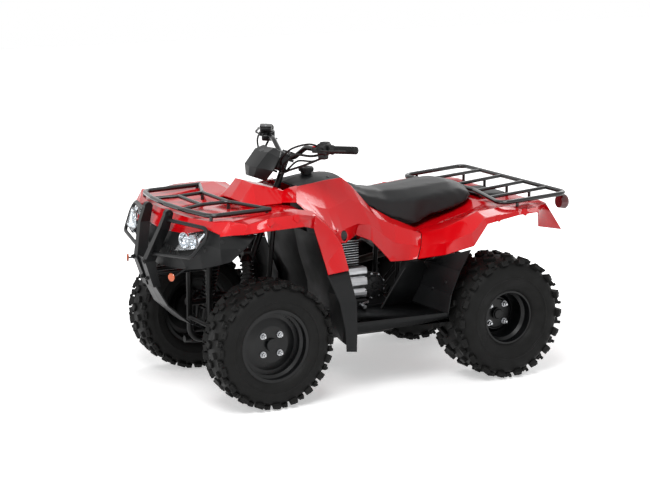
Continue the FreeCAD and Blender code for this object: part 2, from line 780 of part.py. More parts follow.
def cylinder():
    """Make the finned cylinder with its head and cover."""
    foot = cylinder_foot
    count = int(s.crankcase_height / s.fin_pitch)
    barrel = Part.makeCylinder(s.barrel_radius, s.fin_pitch * count, foot, Z)
    pieces = [barrel]
    for number in range(1, count):
        middle = foot + Z * s.fin_pitch * number
        pieces.append(Part.makeBox(s.cylinder_length, s.cylinder_width, s.fin_thickness,
                                   middle - Vector(s.cylinder_length, s.cylinder_width, 0) / 2))
    top = foot + Z * s.fin_pitch * (count - 1)
    half = Vector(s.cylinder_length, s.cylinder_width * 0.8, 0) / 2
    pieces.append(Part.makeBox(s.cylinder_length, s.cylinder_width * 0.8, s.fin_pitch * 3, top - half))
    return joined(pieces)


node("cylinder", cylinder())


def generator_cover():
    """Make the bright cover on the left of the crankcase: three bowed bands with grooves."""
    back = case_centre + Vector(s.crankcase_length * 0.1, s.crankcase_width * 0.4, s.crankcase_height * 0.55)
    bands = BAND_SHARES
    pieces = []
    core = Part.makeBox(s.cover_length * 0.9, s.cover_depth * 0.7, s.cover_height * 0.94,
                        back - Vector(s.cover_length * 0.45, 0, s.cover_height * 0.47))
    pieces.append(core)
    for low, high, bulge in bands:
        z_low = back.z + s.cover_height * (low - HALF) + s.cover_band_gap / 2
        z_high = back.z + s.cover_height * (high - HALF) - s.cover_band_gap / 2
        x = back.x - s.cover_length / 2
        depth = s.cover_depth * bulge
        section = [Vector(x, back.y, z_low), Vector(x, back.y + depth * 0.86, z_low),
                   Vector(x, back.y + depth, (z_low * 2 + z_high) / 3),
                   Vector(x, back.y + depth, (z_low + z_high * 2) / 3),
                   Vector(x, back.y + depth * 0.86, z_high), Vector(x, back.y, z_high)]
        pieces.append(prism(section, X * s.cover_length))
    return joined(pieces)


BAND_SHARES = ((0, 0.3, 0.92), (0.3, 0.68, 1), (0.68, 1, 0.94))
node("generator_cover", generator_cover())


def exhaust():
    """Make the header pipe, which leaves the cylinder in front, and the muffler on the right."""
    port = cylinder_foot + Vector(s.cylinder_length / 2 + s.seat_clearance, 0, s.crankcase_height * 0.72)
    reach = s.exhaust_pipe_radius * 4
    header = tube([port, port + X * reach, place(*(0.633, -0.312, 0.518)), place(*(0.447, -0.375, 0.511)),
                   place(*(0.208, -0.371, 0.566)), place(*(0.129, -0.371, 0.578))],
                  s.exhaust_pipe_radius, s.rail_bend_radius)
    front = place(*(0.146, -0.371, 0.578))
    muffler = rod(front, front + Vector(-s.muffler_length, 0, s.muffler_length * 0.16), s.muffler_radius)
    tail = front + Vector(-s.muffler_length, 0, s.muffler_length * 0.16)
    outlet = rod(tail, tail - X * s.exhaust_pipe_radius * 3, s.exhaust_pipe_radius)
    return joined([header, muffler, outlet])


node("exhaust", exhaust())


def skid_plate():
    """Make the flat plate below the engine and the lower rails."""
    top = s.floor_clearance - s.seat_clearance
    half = s.rail_half_gap
    front, rear = place(*(1.066, 0, 0)).x, place(*(0.323, 0, 0)).x
    corners = [Vector(rear, -half, top), Vector(front, -half * 0.8, top), Vector(front, half * 0.8, top),
               Vector(rear, half, top)]
    return prism(corners, Z * -s.skid_thickness)


HITCH_BORE_SHARE = 0.7


def tow_hitch():
    """Make the flat hitch plate with its bore, which the axle housing carries by a welded neck."""
    front = rear_centre - X * (s.axle_housing_radius + s.seat_clearance)
    half = s.hitch_width / 2
    plate = Part.makeBox(s.hitch_length, s.hitch_width, s.hitch_thickness,
                         front - Vector(s.hitch_length, half, s.hitch_thickness * HALF))
    bore = Part.makeCylinder(s.hitch_bore_radius, s.hitch_thickness * 3,
                             front - Vector(s.hitch_length * HITCH_BORE_SHARE, 0, s.hitch_thickness), Z)
    return plate.cut(bore)


# Bodywork: moulded shells, each lofted through lines of points from its outer edge inward
def skin(stations, wall, pull):
    """Loft an open moulded wall through its stations, thickened along the pull direction.

    The pull's sideways part grows with a point's distance from the middle plane.
    """
    outlines = []
    for line in stations:
        inner = []
        for point in line:
            lean = Vector(pull.x, pull.y * point.y / s.fender_half_width, pull.z)
            inner.append(point + lean.normalize() * wall)
        outlines.append(line + inner[::-1])
    return loft(outlines)


DOWN_AND_IN = Vector(0, -0.8, -0.62)
BACK_AND_IN = Vector(-1, -0.6, 0)
INWARD = Vector(0, -1, 0)

# Front fender, from its nose's lower edge back over the deck to the top of the arch
DECK_SHARES = (
    ((1.213, 0.912, 0.911), (1.211, 0.896, 0.918), (1.223, 0.74, 0.93), (1.253, 0.438, 0.886), (1.271, 0.208, 0.88), (1.275, 0, 0.876)),
    ((1.179, 0.975, 0.918), (1.179, 0.917, 0.981), (1.207, 0.787, 0.966), (1.237, 0.438, 0.96), (1.246, 0.208, 0.96), (1.248, 0, 0.96)),
    ((1.135, 0.992, 0.917), (1.114, 0.979, 0.965), (1.112, 0.833, 0.971), (1.11, 0.521, 0.964), (1.11, 0.229, 0.964), (1.11, 0, 0.964)),
    ((1.031, 1.004, 0.925), (1.023, 0.983, 0.986), (1.004, 0.833, 0.986), (0.995, 0.521, 0.969), (0.995, 0.229, 0.969), (0.995, 0, 0.969)),
    ((0.894, 1.008, 0.93), (0.916, 0.979, 0.99), (0.889, 0.833, 0.998), (0.88, 0.521, 0.978), (0.876, 0.25, 0.973), (0.876, 0, 0.973)),
    ((0.855, 1.004, 0.916), (0.841, 0.971, 0.973), (0.829, 0.858, 0.986), (0.82, 0.688, 0.96), (0.818, 0.417, 0.971), (0.818, 0.25, 0.978)),
)
# Behind the wheel the fender turns down as a strip, from its arch edge to the side panel
STRIP_SHARES = (
    ((0.855, 1.004, 0.916), (0.841, 0.971, 0.973), (0.829, 0.858, 0.986), (0.82, 0.688, 0.96)),
    ((0.824, 1, 0.795), (0.769, 0.963, 0.888), (0.755, 0.838, 0.906), (0.748, 0.688, 0.894)),
    ((0.805, 0.996, 0.723), (0.732, 0.975, 0.814), (0.718, 0.844, 0.824), (0.71, 0.692, 0.813)),
    ((0.792, 0.992, 0.67), (0.7, 0.967, 0.677), (0.691, 0.838, 0.682), (0.687, 0.696, 0.682)),
)


def under(point):
    """Give the spot just below the inner side of a fender's wall at one of its outer points."""
    lean = Vector(DOWN_AND_IN.x, DOWN_AND_IN.y * point.y / s.fender_half_width, DOWN_AND_IN.z)
    return point + lean.normalize() * s.panel_wall - Z * s.seat_clearance


def wall_middle(wall, start):
    """Give the middle of a wall's thickness, straight out to the left from a start point."""
    line = Part.makeLine(start, start + Y * s.overall_length)
    near, far = sorted((vertex.Point - start).Length for vertex in line.common(wall).Vertexes)[:2]
    return start + Y * (near + far) / 2


def arch_pad(spot):
    """Make one five-sided pad that stands out of an arch's outer band."""
    out = Vector(0, 1, ARCH_PAD_TILT).normalize()
    up = X.cross(out)
    corners = []
    for number in range(5):
        turn = math.radians(QUARTER_TURN + FULL_TURN * number / 5)
        corners.append(spot - out * s.panel_wall * HALF
                       + (X * math.cos(turn) - up * math.sin(turn)) * s.arch_pad_radius)
    return prism(corners, out * (s.panel_wall * HALF + s.arch_pad_height))


ARCH_PAD_TILT = 0.35


def front_fender():
    """Make the deck, nose and arches as one moulding, with its bosses on the frame."""
    stations = [symmetric(places(row)) for row in DECK_SHARES[:-1]]
    deck = skin(stations, s.panel_wall, DOWN_AND_IN)
    pieces = [deck]
    for side in SIDES.values():
        shoulder = skin([places(DECK_SHARES[-2])[:-1], places(DECK_SHARES[-1])[:-1]], s.panel_wall, DOWN_AND_IN)
        strip = skin([places(row) for row in STRIP_SHARES], s.panel_wall, DOWN_AND_IN)
        pieces += [to_side(shoulder, side), to_side(strip, side)]
    for spot in ((0.995, 0.125, 0.966), (0.889, 0.208, 0.971)):
        leg = boss(place(*spot), Z * -1, s.boss_radius, FRAME)
        pieces += [leg, mirrored(leg)]
    for spot in ((1.031, 0.99, 0.964), (0.923, 0.988, 0.971)):
        pad = arch_pad(place(*spot))
        pieces += [pad, mirrored(pad)]
    return joined(pieces)


FENDERS = {"front": front_fender()}
node("front_fender", FENDERS["front"])

HOOD_SHARES = (
    ((0.999, 0.258, 0.974), (0.979, 0.175, 0.99), (0.983, 0, 0.995)),
    ((0.947, 0.325, 0.977), (0.926, 0.179, 1.075), (0.935, 0, 1.083)),
    ((0.847, 0.371, 0.983), (0.811, 0.254, 1.031), (0.806, 0, 1.039)),
)
node("hood", skin([symmetric(places(row)) for row in HOOD_SHARES], s.panel_wall, DOWN_AND_IN))

# Side panels, from the tank's edge and the seat's edge down to the open engine bay
PANEL_SHARES = (
    ((0.809, 0.308, 1.027), (0.811, 0.5, 0.99), (0.811, 0.671, 0.964), (0.809, 0.688, 0.952)),
    ((0.751, 0.233, 1.046), (0.755, 0.458, 0.986), (0.748, 0.671, 0.906), (0.74, 0.679, 0.886)),
    ((0.709, 0.229, 1.052), (0.712, 0.483, 0.954), (0.709, 0.662, 0.843), (0.703, 0.675, 0.805)),
    ((0.668, 0.225, 1.058), (0.673, 0.467, 0.94), (0.673, 0.625, 0.831), (0.673, 0.65, 0.778)),
    ((0.629, 0.221, 1.065), (0.633, 0.433, 0.947), (0.629, 0.558, 0.834), (0.624, 0.592, 0.771)),
    ((0.553, 0.208, 1.069), (0.553, 0.35, 0.964), (0.544, 0.467, 0.848), (0.541, 0.429, 0.783)),
    ((0.514, 0.229, 1.022), (0.502, 0.35, 0.94), (0.477, 0.442, 0.831), (0.475, 0.429, 0.747)),
    ((0.447, 0.279, 0.911), (0.435, 0.375, 0.858), (0.426, 0.45, 0.771), (0.426, 0.446, 0.677)),
    ((0.359, 0.3, 0.841), (0.359, 0.392, 0.807), (0.376, 0.467, 0.723), (0.396, 0.467, 0.627)),
    ((0.292, 0.321, 0.801), (0.292, 0.408, 0.777), (0.311, 0.487, 0.708), (0.325, 0.5, 0.627)),
    ((0.245, 0.346, 0.771), (0.249, 0.419, 0.754), (0.268, 0.49, 0.696), (0.295, 0.537, 0.636)),
)
panel = skin([places(row) for row in PANEL_SHARES], s.panel_wall, INWARD)
bosses = [boss(wall_middle(panel, place(*spot)), Y * -1, s.boss_radius, FRAME)
          for spot in ((0.677, 0, 0.836), (0.425, 0, 0.735), (0.332, 0, 0.692))]
panel = joined([panel] + bosses)
valve_face = wall_middle(panel, place(*(0.628, 0, 0.805)))
valve_hole = rod(valve_face - Y * s.valve_radius, valve_face + Y * s.valve_radius,
                 s.valve_radius + s.panel_wall)
node("side_panel_left", panel.cut(valve_hole))
node("side_panel_right", mirrored(panel))


def fuel_valve():
    """Make the round valve knob in the left panel's hole, with its grip and its stem on the frame."""
    face = valve_face - Y * s.panel_wall
    knob = rod(face - Y * s.valve_radius, face, s.valve_radius)
    half = Vector(s.valve_radius * 0.8, 0, s.valve_radius * 0.2)
    grip = Part.makeBox(half.x * 2, s.panel_wall * 2, half.z * 2, face - half - Y * s.panel_wall)
    stem = boss(face - Y * s.valve_radius * HALF + Z * s.leg_radius * HALF, Y * -1, s.leg_radius, FRAME)
    return joined([knob, grip, stem])


node("fuel_valve", fuel_valve())

REAR_SHARES = (
    ((0.291, 0.54, 0.636), (0.265, 0.492, 0.696), (0.244, 0.419, 0.752), (0.236, 0.346, 0.764), (0.233, 0, 0.771)),
    ((0.231, 0.792, 0.677), (0.228, 0.781, 0.735), (0.215, 0.688, 0.805), (0.187, 0.417, 0.795), (0.185, 0, 0.786)),
    ((0.157, 0.988, 0.733), (0.173, 1.004, 0.805), (0.176, 0.875, 0.87), (0.125, 0.442, 0.824), (0.118, 0, 0.814)),
    ((0.106, 1.025, 0.847), (0.118, 1.021, 0.877), (0.116, 0.875, 0.899), (0.056, 0.471, 0.851), (0.047, 0, 0.843)),
    ((-0.038, 1.025, 0.877), (-0.032, 1.017, 0.896), (-0.025, 0.833, 0.906), (-0.032, 0.479, 0.894), (-0.034, 0, 0.887)),
    ((-0.141, 0.979, 0.876), (-0.138, 0.963, 0.901), (-0.137, 0.812, 0.91), (-0.137, 0.479, 0.899), (-0.137, 0, 0.894)),
    ((-0.213, 0.833, 0.892), (-0.218, 0.823, 0.901), (-0.221, 0.708, 0.906), (-0.225, 0.458, 0.898), (-0.229, 0, 0.894)),
)
TAIL_SHARES = (
    ((-0.141, 0.971, 0.876), (-0.218, 0.825, 0.898), (-0.227, 0.521, 0.894)),
    ((-0.165, 0.896, 0.789), (-0.3, 0.804, 0.748), (-0.296, 0.521, 0.771)),
)


def rear_fender():
    """Make the rear moulding with its arches and two tail flaps."""
    pieces = [skin([symmetric(places(row)) for row in REAR_SHARES], s.panel_wall, DOWN_AND_IN)]
    for spot in ((0.171, 0.125, 0.788), (-0.066, 0.125, 0.887)):
        leg = boss(place(*spot), Z * -1, s.boss_radius, FRAME)
        pieces += [leg, mirrored(leg)]
    for spot in ((0.058, 1.019, 0.87), (-0.066, 1.006, 0.886)):
        pad = arch_pad(place(*spot))
        pieces += [pad, mirrored(pad)]
    flap = skin([places(row) for row in TAIL_SHARES], s.panel_wall, Vector(HALF, -HALF, -HALF))
    return joined(pieces + [flap, mirrored(flap)])


FENDERS["rear"] = rear_fender()
node("rear_fender", FENDERS["rear"])

# Black mouldings: front fascia, flaps behind the front wheels, footboards with rear guards
FASCIA_SHARES = (
    ((1.087, 0.971, 0.901), (1.121, 0.938, 0.841), (1.158, 0.85, 0.771)),
    ((1.204, 0.892, 0.904), (1.206, 0.875, 0.843), (1.184, 0.792, 0.754)),
    ((1.218, 0.733, 0.92), (1.248, 0.683, 0.86), (1.236, 0.658, 0.725)),
    ((1.248, 0.442, 0.876), (1.292, 0.463, 0.8), (1.262, 0.475, 0.706)),
    ((1.264, 0.212, 0.87), (1.298, 0.229, 0.795), (1.282, 0.229, 0.694)),
    ((1.267, 0, 0.866), (1.301, 0, 0.789), (1.283, 0, 0.687)),
)
LENS_SHARES = ((1.262, 0.704, 0.913), (1.271, 0.45, 0.87), (1.309, 0.45, 0.805), (1.291, 0.671, 0.829))


def headlight(margin):
    """Make one headlight between its lens and its back; a margin makes the cutter for its seat."""
    corners = places(LENS_SHARES)
    middle = (corners[0] + corners[1] + corners[2] + corners[3]) / 4
    grown = [corner + (corner - middle).normalize() * margin for corner in corners]
    front = [corner + X * margin * 3 for corner in grown]
    back = [corner - X * (s.lamp_depth + margin) for corner in grown]
    return loft([front, back])


fascia_rows = [places(row) for row in FASCIA_SHARES]
for row, point in zip(fascia_rows[1:], places(DECK_SHARES[0])[1:]):
    row[0] = under(point)
fascia_half = skin(fascia_rows, s.fascia_wall, BACK_AND_IN)
fascia_half = fascia_half.cut(headlight(s.panel_gap * 2))
reflector_seat = place(*(1.319, 0.471, 0.675))
reflector_axis = (X + Y * HALF).normalize()
stay_end = reflector_seat - reflector_axis * s.seat_clearance
stay_bend = stay_end - reflector_axis * s.reflector_depth * 2
reflector_stay = joined([rod(stay_end, stay_bend, s.leg_radius * HALF),
                         rod(stay_bend, place(*(1.25, 0.487, 0.725)), s.leg_radius * HALF)])
fascia_boss = boss(place(*(1.292, 0.208, 0.771)), X * -1, s.boss_radius, FRAME)
fascia_halves = [fascia_half, reflector_stay, fascia_boss]
node("front_fascia", joined(fascia_halves + [mirrored(piece) for piece in fascia_halves]))
node("headlights", both_sides(headlight(0)))

FLAP_SHARES = (
    ((0.732, 0.963, 0.506), (0.664, 0.958, 0.506), (0.663, 0.688, 0.506), (0.673, 0.492, 0.506)),
    ((0.705, 0.95, 0.361), (0.659, 0.95, 0.361), (0.657, 0.688, 0.361), (0.664, 0.492, 0.361)),
    ((0.696, 0.929, 0.248), (0.656, 0.929, 0.241), (0.654, 0.688, 0.258), (0.659, 0.5, 0.289)),
)
flap_top = [under(point) for point in places(STRIP_SHARES[-1])]
flap = skin([flap_top] + [places(row) for row in FLAP_SHARES], s.flap_wall, Vector(1, -HALF, 0))
node("mudguards", both_sides(flap))


# Footboards with the guards in front of the rear wheels, tank cover, cap, seat and tail cover
BOARD_SHARES = (
    ((0.656, 0.312, 0.383), (0.656, 0.875, 0.383)),
    ((0.252, 0.312, 0.386), (0.252, 0.938, 0.386)),
)
REAR_GUARD_SHARES = (
    ((0.258, 0.946, 0.381), (0.261, 0.312, 0.381)),
    ((0.247, 0.954, 0.482), (0.249, 0.429, 0.482)),
    ((0.212, 0.963, 0.602), (0.215, 0.438, 0.602)),
    ((0.166, 0.975, 0.713), (0.268, 0.525, 0.614)),
)


def footboard():
    """Make the left footboard: a tray with a raised rim, with the guard that rises behind it."""
    near, far = (places(row) for row in BOARD_SHARES)
    outline = [near[0], near[1], far[1], far[0]]
    board = prism(outline, Z * -s.board_thickness)
    inset = s.board_thickness * 0.3
    middle = (outline[0] + outline[2]) / 2
    floor = [point + (middle - point).normalize() * inset for point in outline]
    tray = board.cut(prism(floor, Z * -inset))
    low, mid, high = (places(row) for row in REAR_GUARD_SHARES[:3])
    top = places(REAR_GUARD_SHARES[3])
    guard = skin([low, mid, high, top], s.flap_wall, X)
    stays = [boss(place(*(0.306, 0.325, 0.375)), Y * -1, s.boss_radius, FRAME),
             boss(place(*(0.615, 0.329, 0.375)), Vector(0, -HALF, -1).normalize(), s.boss_radius, FRAME)]
    return joined([tray, guard] + stays)


node("footboards", both_sides(footboard()))

TANK_SHARES = (
    ((0.751, 0.221, 1.041), (0.756, 0.138, 1.051), (0.758, 0, 1.055)),
    ((0.709, 0.217, 1.051), (0.709, 0.125, 1.067), (0.709, 0, 1.075)),
    ((0.668, 0.212, 1.055), (0.668, 0.125, 1.075), (0.668, 0, 1.082)),
    ((0.629, 0.208, 1.06), (0.629, 0.125, 1.077), (0.629, 0, 1.083)),
    ((0.553, 0.2, 1.065), (0.551, 0.117, 1.075), (0.546, 0, 1.077)),
    ((0.514, 0.204, 1.022), (0.509, 0.117, 1.036), (0.505, 0, 1.04)),
)
tank_rows = [places(row) for row in TANK_SHARES]
for row, point in zip(tank_rows, places([line[0] for line in PANEL_SHARES[1:7]])):
    row[0] = point - Y * (s.panel_wall + s.seat_clearance)
node("tank_cover", skin([symmetric(row) for row in tank_rows], s.panel_wall * 2, Z * -1))


def fuel_cap():
    """Make the ribbed cap on its neck."""
    foot = place(*(0.66, 0, 1.083)) + Z * s.seat_clearance
    neck = Part.makeCylinder(s.cap_radius * 0.7, s.cap_height * 0.4, foot, Z)
    grip = Part.makeCylinder(s.cap_radius, s.cap_height * 0.6, foot + Z * s.cap_height * 0.4, Z)
    notches = []
    for number in range(CAP_RIBS):
        turn = math.radians(FULL_TURN * number / CAP_RIBS)
        spot = foot + Vector(math.cos(turn), math.sin(turn), 0) * s.cap_radius * 1.08
        notches.append(Part.makeCylinder(s.cap_radius * 0.16, s.cap_height * 2, spot, Z))
    return joined([neck, grip]).cut(notches)


CAP_RIBS = 8
node("fuel_cap", fuel_cap())

# Seat: a padded closed solid, from its nose behind the tank to its tail before the rear rack
SEAT_SHARES = (
    ((0.521, 0.204, 0.978), (0.512, 0.192, 1.019), (0.505, 0.104, 1.031), (0.502, 0, 1.034)),
    ((0.445, 0.256, 0.906), (0.443, 0.25, 0.959), (0.438, 0.138, 0.99), (0.436, 0, 0.995)),
    ((0.359, 0.279, 0.836), (0.359, 0.273, 0.928), (0.359, 0.163, 0.971), (0.359, 0, 0.977)),
    ((0.244, 0.321, 0.783), (0.244, 0.321, 0.925), (0.244, 0.179, 0.976), (0.244, 0, 0.982)),
    ((0.182, 0.358, 0.834), (0.173, 0.329, 0.93), (0.164, 0.183, 0.986), (0.16, 0, 0.992)),
    ((0.084, 0.371, 0.86), (0.076, 0.321, 0.942), (0.067, 0.179, 0.993), (0.063, 0, 0.999)),
    ((0.005, 0.333, 0.889), (-0.009, 0.292, 0.94), (-0.016, 0.163, 0.964), (-0.02, 0, 0.969)),
    ((-0.027, 0.25, 0.901), (-0.048, 0.208, 0.916), (-0.055, 0.125, 0.923), (-0.057, 0, 0.925)),
)


def seat():
    """Make the seat's cushion as one closed solid on a flat base that is drawn in from its edge."""
    outlines = []
    for row in SEAT_SHARES:
        line = symmetric(places(row))
        base = [Vector(point.x, point.y * BASE_SHARE, line[0].z) for point in line]
        outlines.append(line + base[::-1])
    cushion = loft(outlines)
    feet = [boss(place(*(0.445, 0.208, 0.912)), Z * -1, s.boss_radius, FRAME),
            boss(place(*(0.084, 0.125, 0.866)), Z * -1, s.boss_radius, FENDERS["rear"])]
    return joined([cushion] + feet + [mirrored(foot) for foot in feet])


BASE_SHARE = 0.94
node("seat", seat())
TAIL_COVER_SHARES = (
    ((-0.068, 0.254, 0.902), (-0.069, 0.217, 0.911), (-0.069, 0, 0.913)),
    ((-0.198, 0.233, 0.902), (-0.197, 0.2, 0.911), (-0.197, 0, 0.913)),
)
node("tail_cover", skin([symmetric(places(row)) for row in TAIL_COVER_SHARES], s.panel_wall, Z * -1))


# Handlebar, grips, controls and the shield before them; all turn with the column
bar_foot = column_head + column_axis * (s.steer_arm_thickness + s.bar_radius)
BAR_SHARES = ((0.744, 0.129, 1.193), (0.732, 0.312, 1.253), (0.715, 0.492, 1.255), (0.637, 0.817, 1.267))


def handlebar():
    """Bend the bar's left half, mirror it, and add the clamp and its posts."""
    points = [bar_foot] + places(BAR_SHARES)
    points[1] = bar_foot + Y * points[1].y
    half = tube(points, s.bar_radius, s.bar_bend_radius)
    reach = s.clamp_length * 0.7
    along = Vector(s.clamp_length, s.clamp_length, s.clamp_length)
    pieces = [half, mirrored(half)]
    for direction in (-1, 1):
        centre = bar_foot + Y * reach * 1.4 * direction
        foot = centre - column_axis * (s.bar_radius + s.seat_clearance * 0)
        pieces.append(rod(foot, centre + column_axis * s.bar_radius * 1.8, s.clamp_length * 0.6))
    return joined(pieces)


bar_end = place(*BAR_SHARES[3])
bar_knee = place(*BAR_SHARES[2])
bar_along = (bar_end - bar_knee).normalize()
node("handlebar", handlebar())


def grip():
    """Make the rubber grip on the bar's end, with its flange and rounded ribs."""
    start = bar_end - bar_along * (s.grip_length - s.grip_radius * 0.5)
    stop = bar_end + bar_along * s.grip_radius * 0.5
    sleeve = rod(start, stop, s.grip_radius)
    flange = rod(start - bar_along * s.bar_radius * 0.4, start, s.grip_radius * 1.4)
    bore = rod(start - bar_along * s.grip_length, bar_end, s.bar_radius + s.running_clearance)
    return joined([sleeve, flange]).cut(bore)


node("grips", both_sides(grip()))


def clamp_on_bar(distance, length, radius):
    """Make a collar round the bar, at a distance inboard of the grip's flange."""
    start = bar_end - bar_along * (s.grip_length + distance)
    collar = rod(start, start - bar_along * length, radius)
    bore = rod(bar_end, bar_knee - bar_along * s.grip_length, s.bar_radius + s.running_clearance)
    return collar, bore


def hand_controls():
    """Make the left switch box and lever, and the right throttle box, reservoir and lever."""
    solids = []
    for side in SIDES.values():
        collar, bore = clamp_on_bar(s.bar_radius, s.clamp_length * 1.5, s.grip_radius * 1.4)
        centre = collar.CenterOfMass
        size = s.clamp_length * (1.7 if side > 0 else 1.9)
        box = Part.makeBox(size, size * 0.8, size * 0.9, centre - Vector(size * 0.2, size * 0.4, size * 0.3))
        root = centre + X * size * 0.75
        tip = bar_end + X * s.grip_radius * 3.4 - bar_along * s.grip_radius
        lever = tube([centre, root, tip], s.lever_radius, s.grip_radius)
        pieces = [collar, box, lever]
        if side < 0:
            cup = centre + Z * size * 0.6 + X * size * 0.2
            pieces.append(Part.makeBox(size * 0.9, size * 1.3, size * 0.5,
                                       cup - Vector(size * 0.45, size * 0.65, 0)))
        shape = joined(pieces).cut(bore)
        solids.append(to_side(shape, side))
    return separate(solids)


node("hand_controls", hand_controls())

SHIELD_SHARES = (
    ((0.875, 0.175, 1.084), (0.902, 0.083, 1.099), (0.908, 0, 1.101)),
    ((0.863, 0.267, 1.142), (0.898, 0.121, 1.154), (0.903, 0, 1.149)),
    ((0.829, 0.242, 1.205), (0.852, 0.129, 1.227), (0.855, 0, 1.219)),
    ((0.806, 0.167, 1.229), (0.82, 0.108, 1.246), (0.824, 0, 1.243)),
)


def handlebar_shield():
    """Make the faceted shield with the bracket that holds it to the bar's clamp."""
    shell = skin([symmetric(places(row)) for row in SHIELD_SHARES], s.shield_wall, Vector(-1, -HALF, -HALF))
    back = place(*(0.855, 0, 1.219)) - X * s.shield_wall * HALF
    reach = (back - bar_foot).normalize() * (s.bar_radius + s.seat_clearance)
    bracket = rod(back, bar_foot + reach, s.shield_wall)
    return joined([shell, bracket])


node("handlebar_shield", handlebar_shield())


# Racks, front guard, lamps, skid plate, hitch and pedals
def front_rack():
    """Make the front carrier: an outer loop, inner bars, crossbars and legs."""
    outer = [place(*(0.97, 0.719, 0.999)), place(*(1.21, 0.708, 0.99)), place(*(1.244, 0.335, 0.992)),
             place(*(1.252, 0, 0.992))]
    outer_half = tube(outer, s.rack_tube_radius, s.rack_bend_radius)
    inner = [place(*(1.248, 0.312, 0.992)), place(*(1.153, 0.242, 0.999)), place(*(1.048, 0.263, 1.004)),
             place(*(0.97, 0.719, 0.999))]
    inner_half = tube(inner, s.slat_tube_radius, s.rack_bend_radius)
    pieces = [outer_half, inner_half, mirrored(outer_half), mirrored(inner_half)]
    for spot in ((1.153, 0.242, 0.999), (1.048, 0.263, 1.004)):
        start = place(*spot)
        pieces.append(rod(start, Vector(start.x, -start.y, start.z), s.slat_tube_radius))
    for head in ((1.207, 0.704, 0.99), (0.983, 0.708, 0.999), (1.048, 0.267, 1.004)):
        leg = boss(place(*head), Z * -1, s.leg_radius, FENDERS["front"])
        pieces += [leg, mirrored(leg)]
    return joined(pieces)


def rear_rack():
    """Make the rear carrier: a closed outer loop, four slats and its posts."""
    half = [place(*(-0.07, 0, 0.928)), place(*(-0.07, 0.146, 0.928)), place(*(0.012, 0.879, 0.928)),
            place(*(-0.296, 0.898, 0.954)), place(*(-0.296, 0, 0.954))]
    outer = tube(half, s.rack_tube_radius, s.rack_bend_radius)
    pieces = [outer, mirrored(outer)]
    for front, rear in (((-0.07, 0.192, 0.928), (-0.296, 0.192, 0.954)), ((-0.025, 0.567, 0.928), (-0.296, 0.567, 0.954))):
        slat = rod(place(*front), place(*rear), s.slat_tube_radius)
        pieces += [slat, mirrored(slat)]
    for head in ((-0.213, 0.567, 0.947), (-0.066, 0.883, 0.935), (-0.213, 0.192, 0.945)):
        leg = boss(place(*head), Z * -1, s.leg_radius, FENDERS["rear"])
        pieces += [leg, mirrored(leg)]
    return joined(pieces)


node("front_rack", front_rack())
node("rear_rack", rear_rack())

GUARD_SHARES = (
    ((1.298, 0.192, 0.971), (1.298, 0.246, 0.971), (1.267, 0.246, 0.971), (1.267, 0.192, 0.971)),
    ((1.322, 0.179, 0.892), (1.322, 0.237, 0.892), (1.282, 0.237, 0.892), (1.282, 0.179, 0.892)),
    ((1.362, 0.05, 0.72), (1.362, 0.129, 0.72), (1.321, 0.129, 0.72), (1.321, 0.05, 0.72)),
    ((1.328, 0.021, 0.583), (1.328, 0.117, 0.583), (1.299, 0.117, 0.583), (1.299, 0.021, 0.583)),
)


def front_guard():
    """Make the two upright plates, which meet in a Y, and the skid that sweeps below the frame."""
    arm = loft([places(row) for row in GUARD_SHARES])
    throat = [place(*(1.357, 0.062, 0.737)), place(*(1.357, -0.062, 0.737)), place(*(1.322, -0.062, 0.583)),
              place(*(1.322, 0.062, 0.583))]
    web = prism(throat, X * -s.guard_plate_thickness)
    skid_lines = [
        places(((1.322, 0.117, 0.59), (1.322, 0, 0.59))),
        places(((1.278, 0.146, 0.482), (1.282, 0, 0.482))),
        places(((1.198, 0.188, 0.386), (1.202, 0, 0.383))),
        places(((1.144, 0.204, 0.349), (1.145, 0, 0.345))),
    ]
    skid = skin([symmetric(line) for line in skid_lines], s.skid_thickness, Vector(-1, 0, 1))
    stay_start = place(*(1.322, 0.092, 0.651))
    stay_end = place(*(1.119, 0.092, 0.651)) + X * (s.brace_radius + s.seat_clearance)
    stay = rod(stay_start, stay_end, s.rack_tube_radius)
    loop = tube([place(*(1.289, 0.221, 0.937)), place(*(1.225, 0.844, 0.937)), place(*(1.29, 0.708, 0.792)),
                 place(*(1.335, 0.121, 0.76))], s.guard_tube_radius, s.guard_bend_radius)
    return joined([arm, mirrored(arm), web, skid, stay, mirrored(stay), loop, mirrored(loop)])


guard = front_guard()
node("front_guard", guard)
length_middle_to_end = guard.BoundBox.XMax


def round_lamp(centre, direction, radius, depth):
    """Make a round lamp as a shallow turned housing with a domed face."""
    outline = [Vector(), Vector(0, radius * 0.8, 0), Vector(depth * 0.7, radius, 0),
               Vector(depth * 0.9, radius * 0.9, 0), Vector(depth, 0, 0)]
    shape = Part.Face(Part.makePolygon(outline + outline[:1])).revolve(Vector(), X, FULL_TURN)
    shape.Placement = Placement(centre, Rotation(X, direction))
    return shape


reflector = round_lamp(reflector_seat, X + Y * HALF, s.reflector_radius, s.reflector_depth)
node("front_reflectors", both_sides(reflector))
tail_spot = place(*(-0.278, 0.792, 0.896))
tail_spot.x = s.tail_lamp_depth - length_middle_to_end
tail = round_lamp(tail_spot, X * -1, s.tail_lamp_radius, s.tail_lamp_depth)
hanger_top = place(*(-0.296, 0.792, 0.954)) - Z * (s.rack_tube_radius + s.seat_clearance)
hanger = rod(Vector(hanger_top.x, hanger_top.y, tail_spot.z), hanger_top, s.leg_radius)
node("tail_light", joined([tail, hanger]))
node("skid_plate", skid_plate())
node("tow_hitch", tow_hitch())


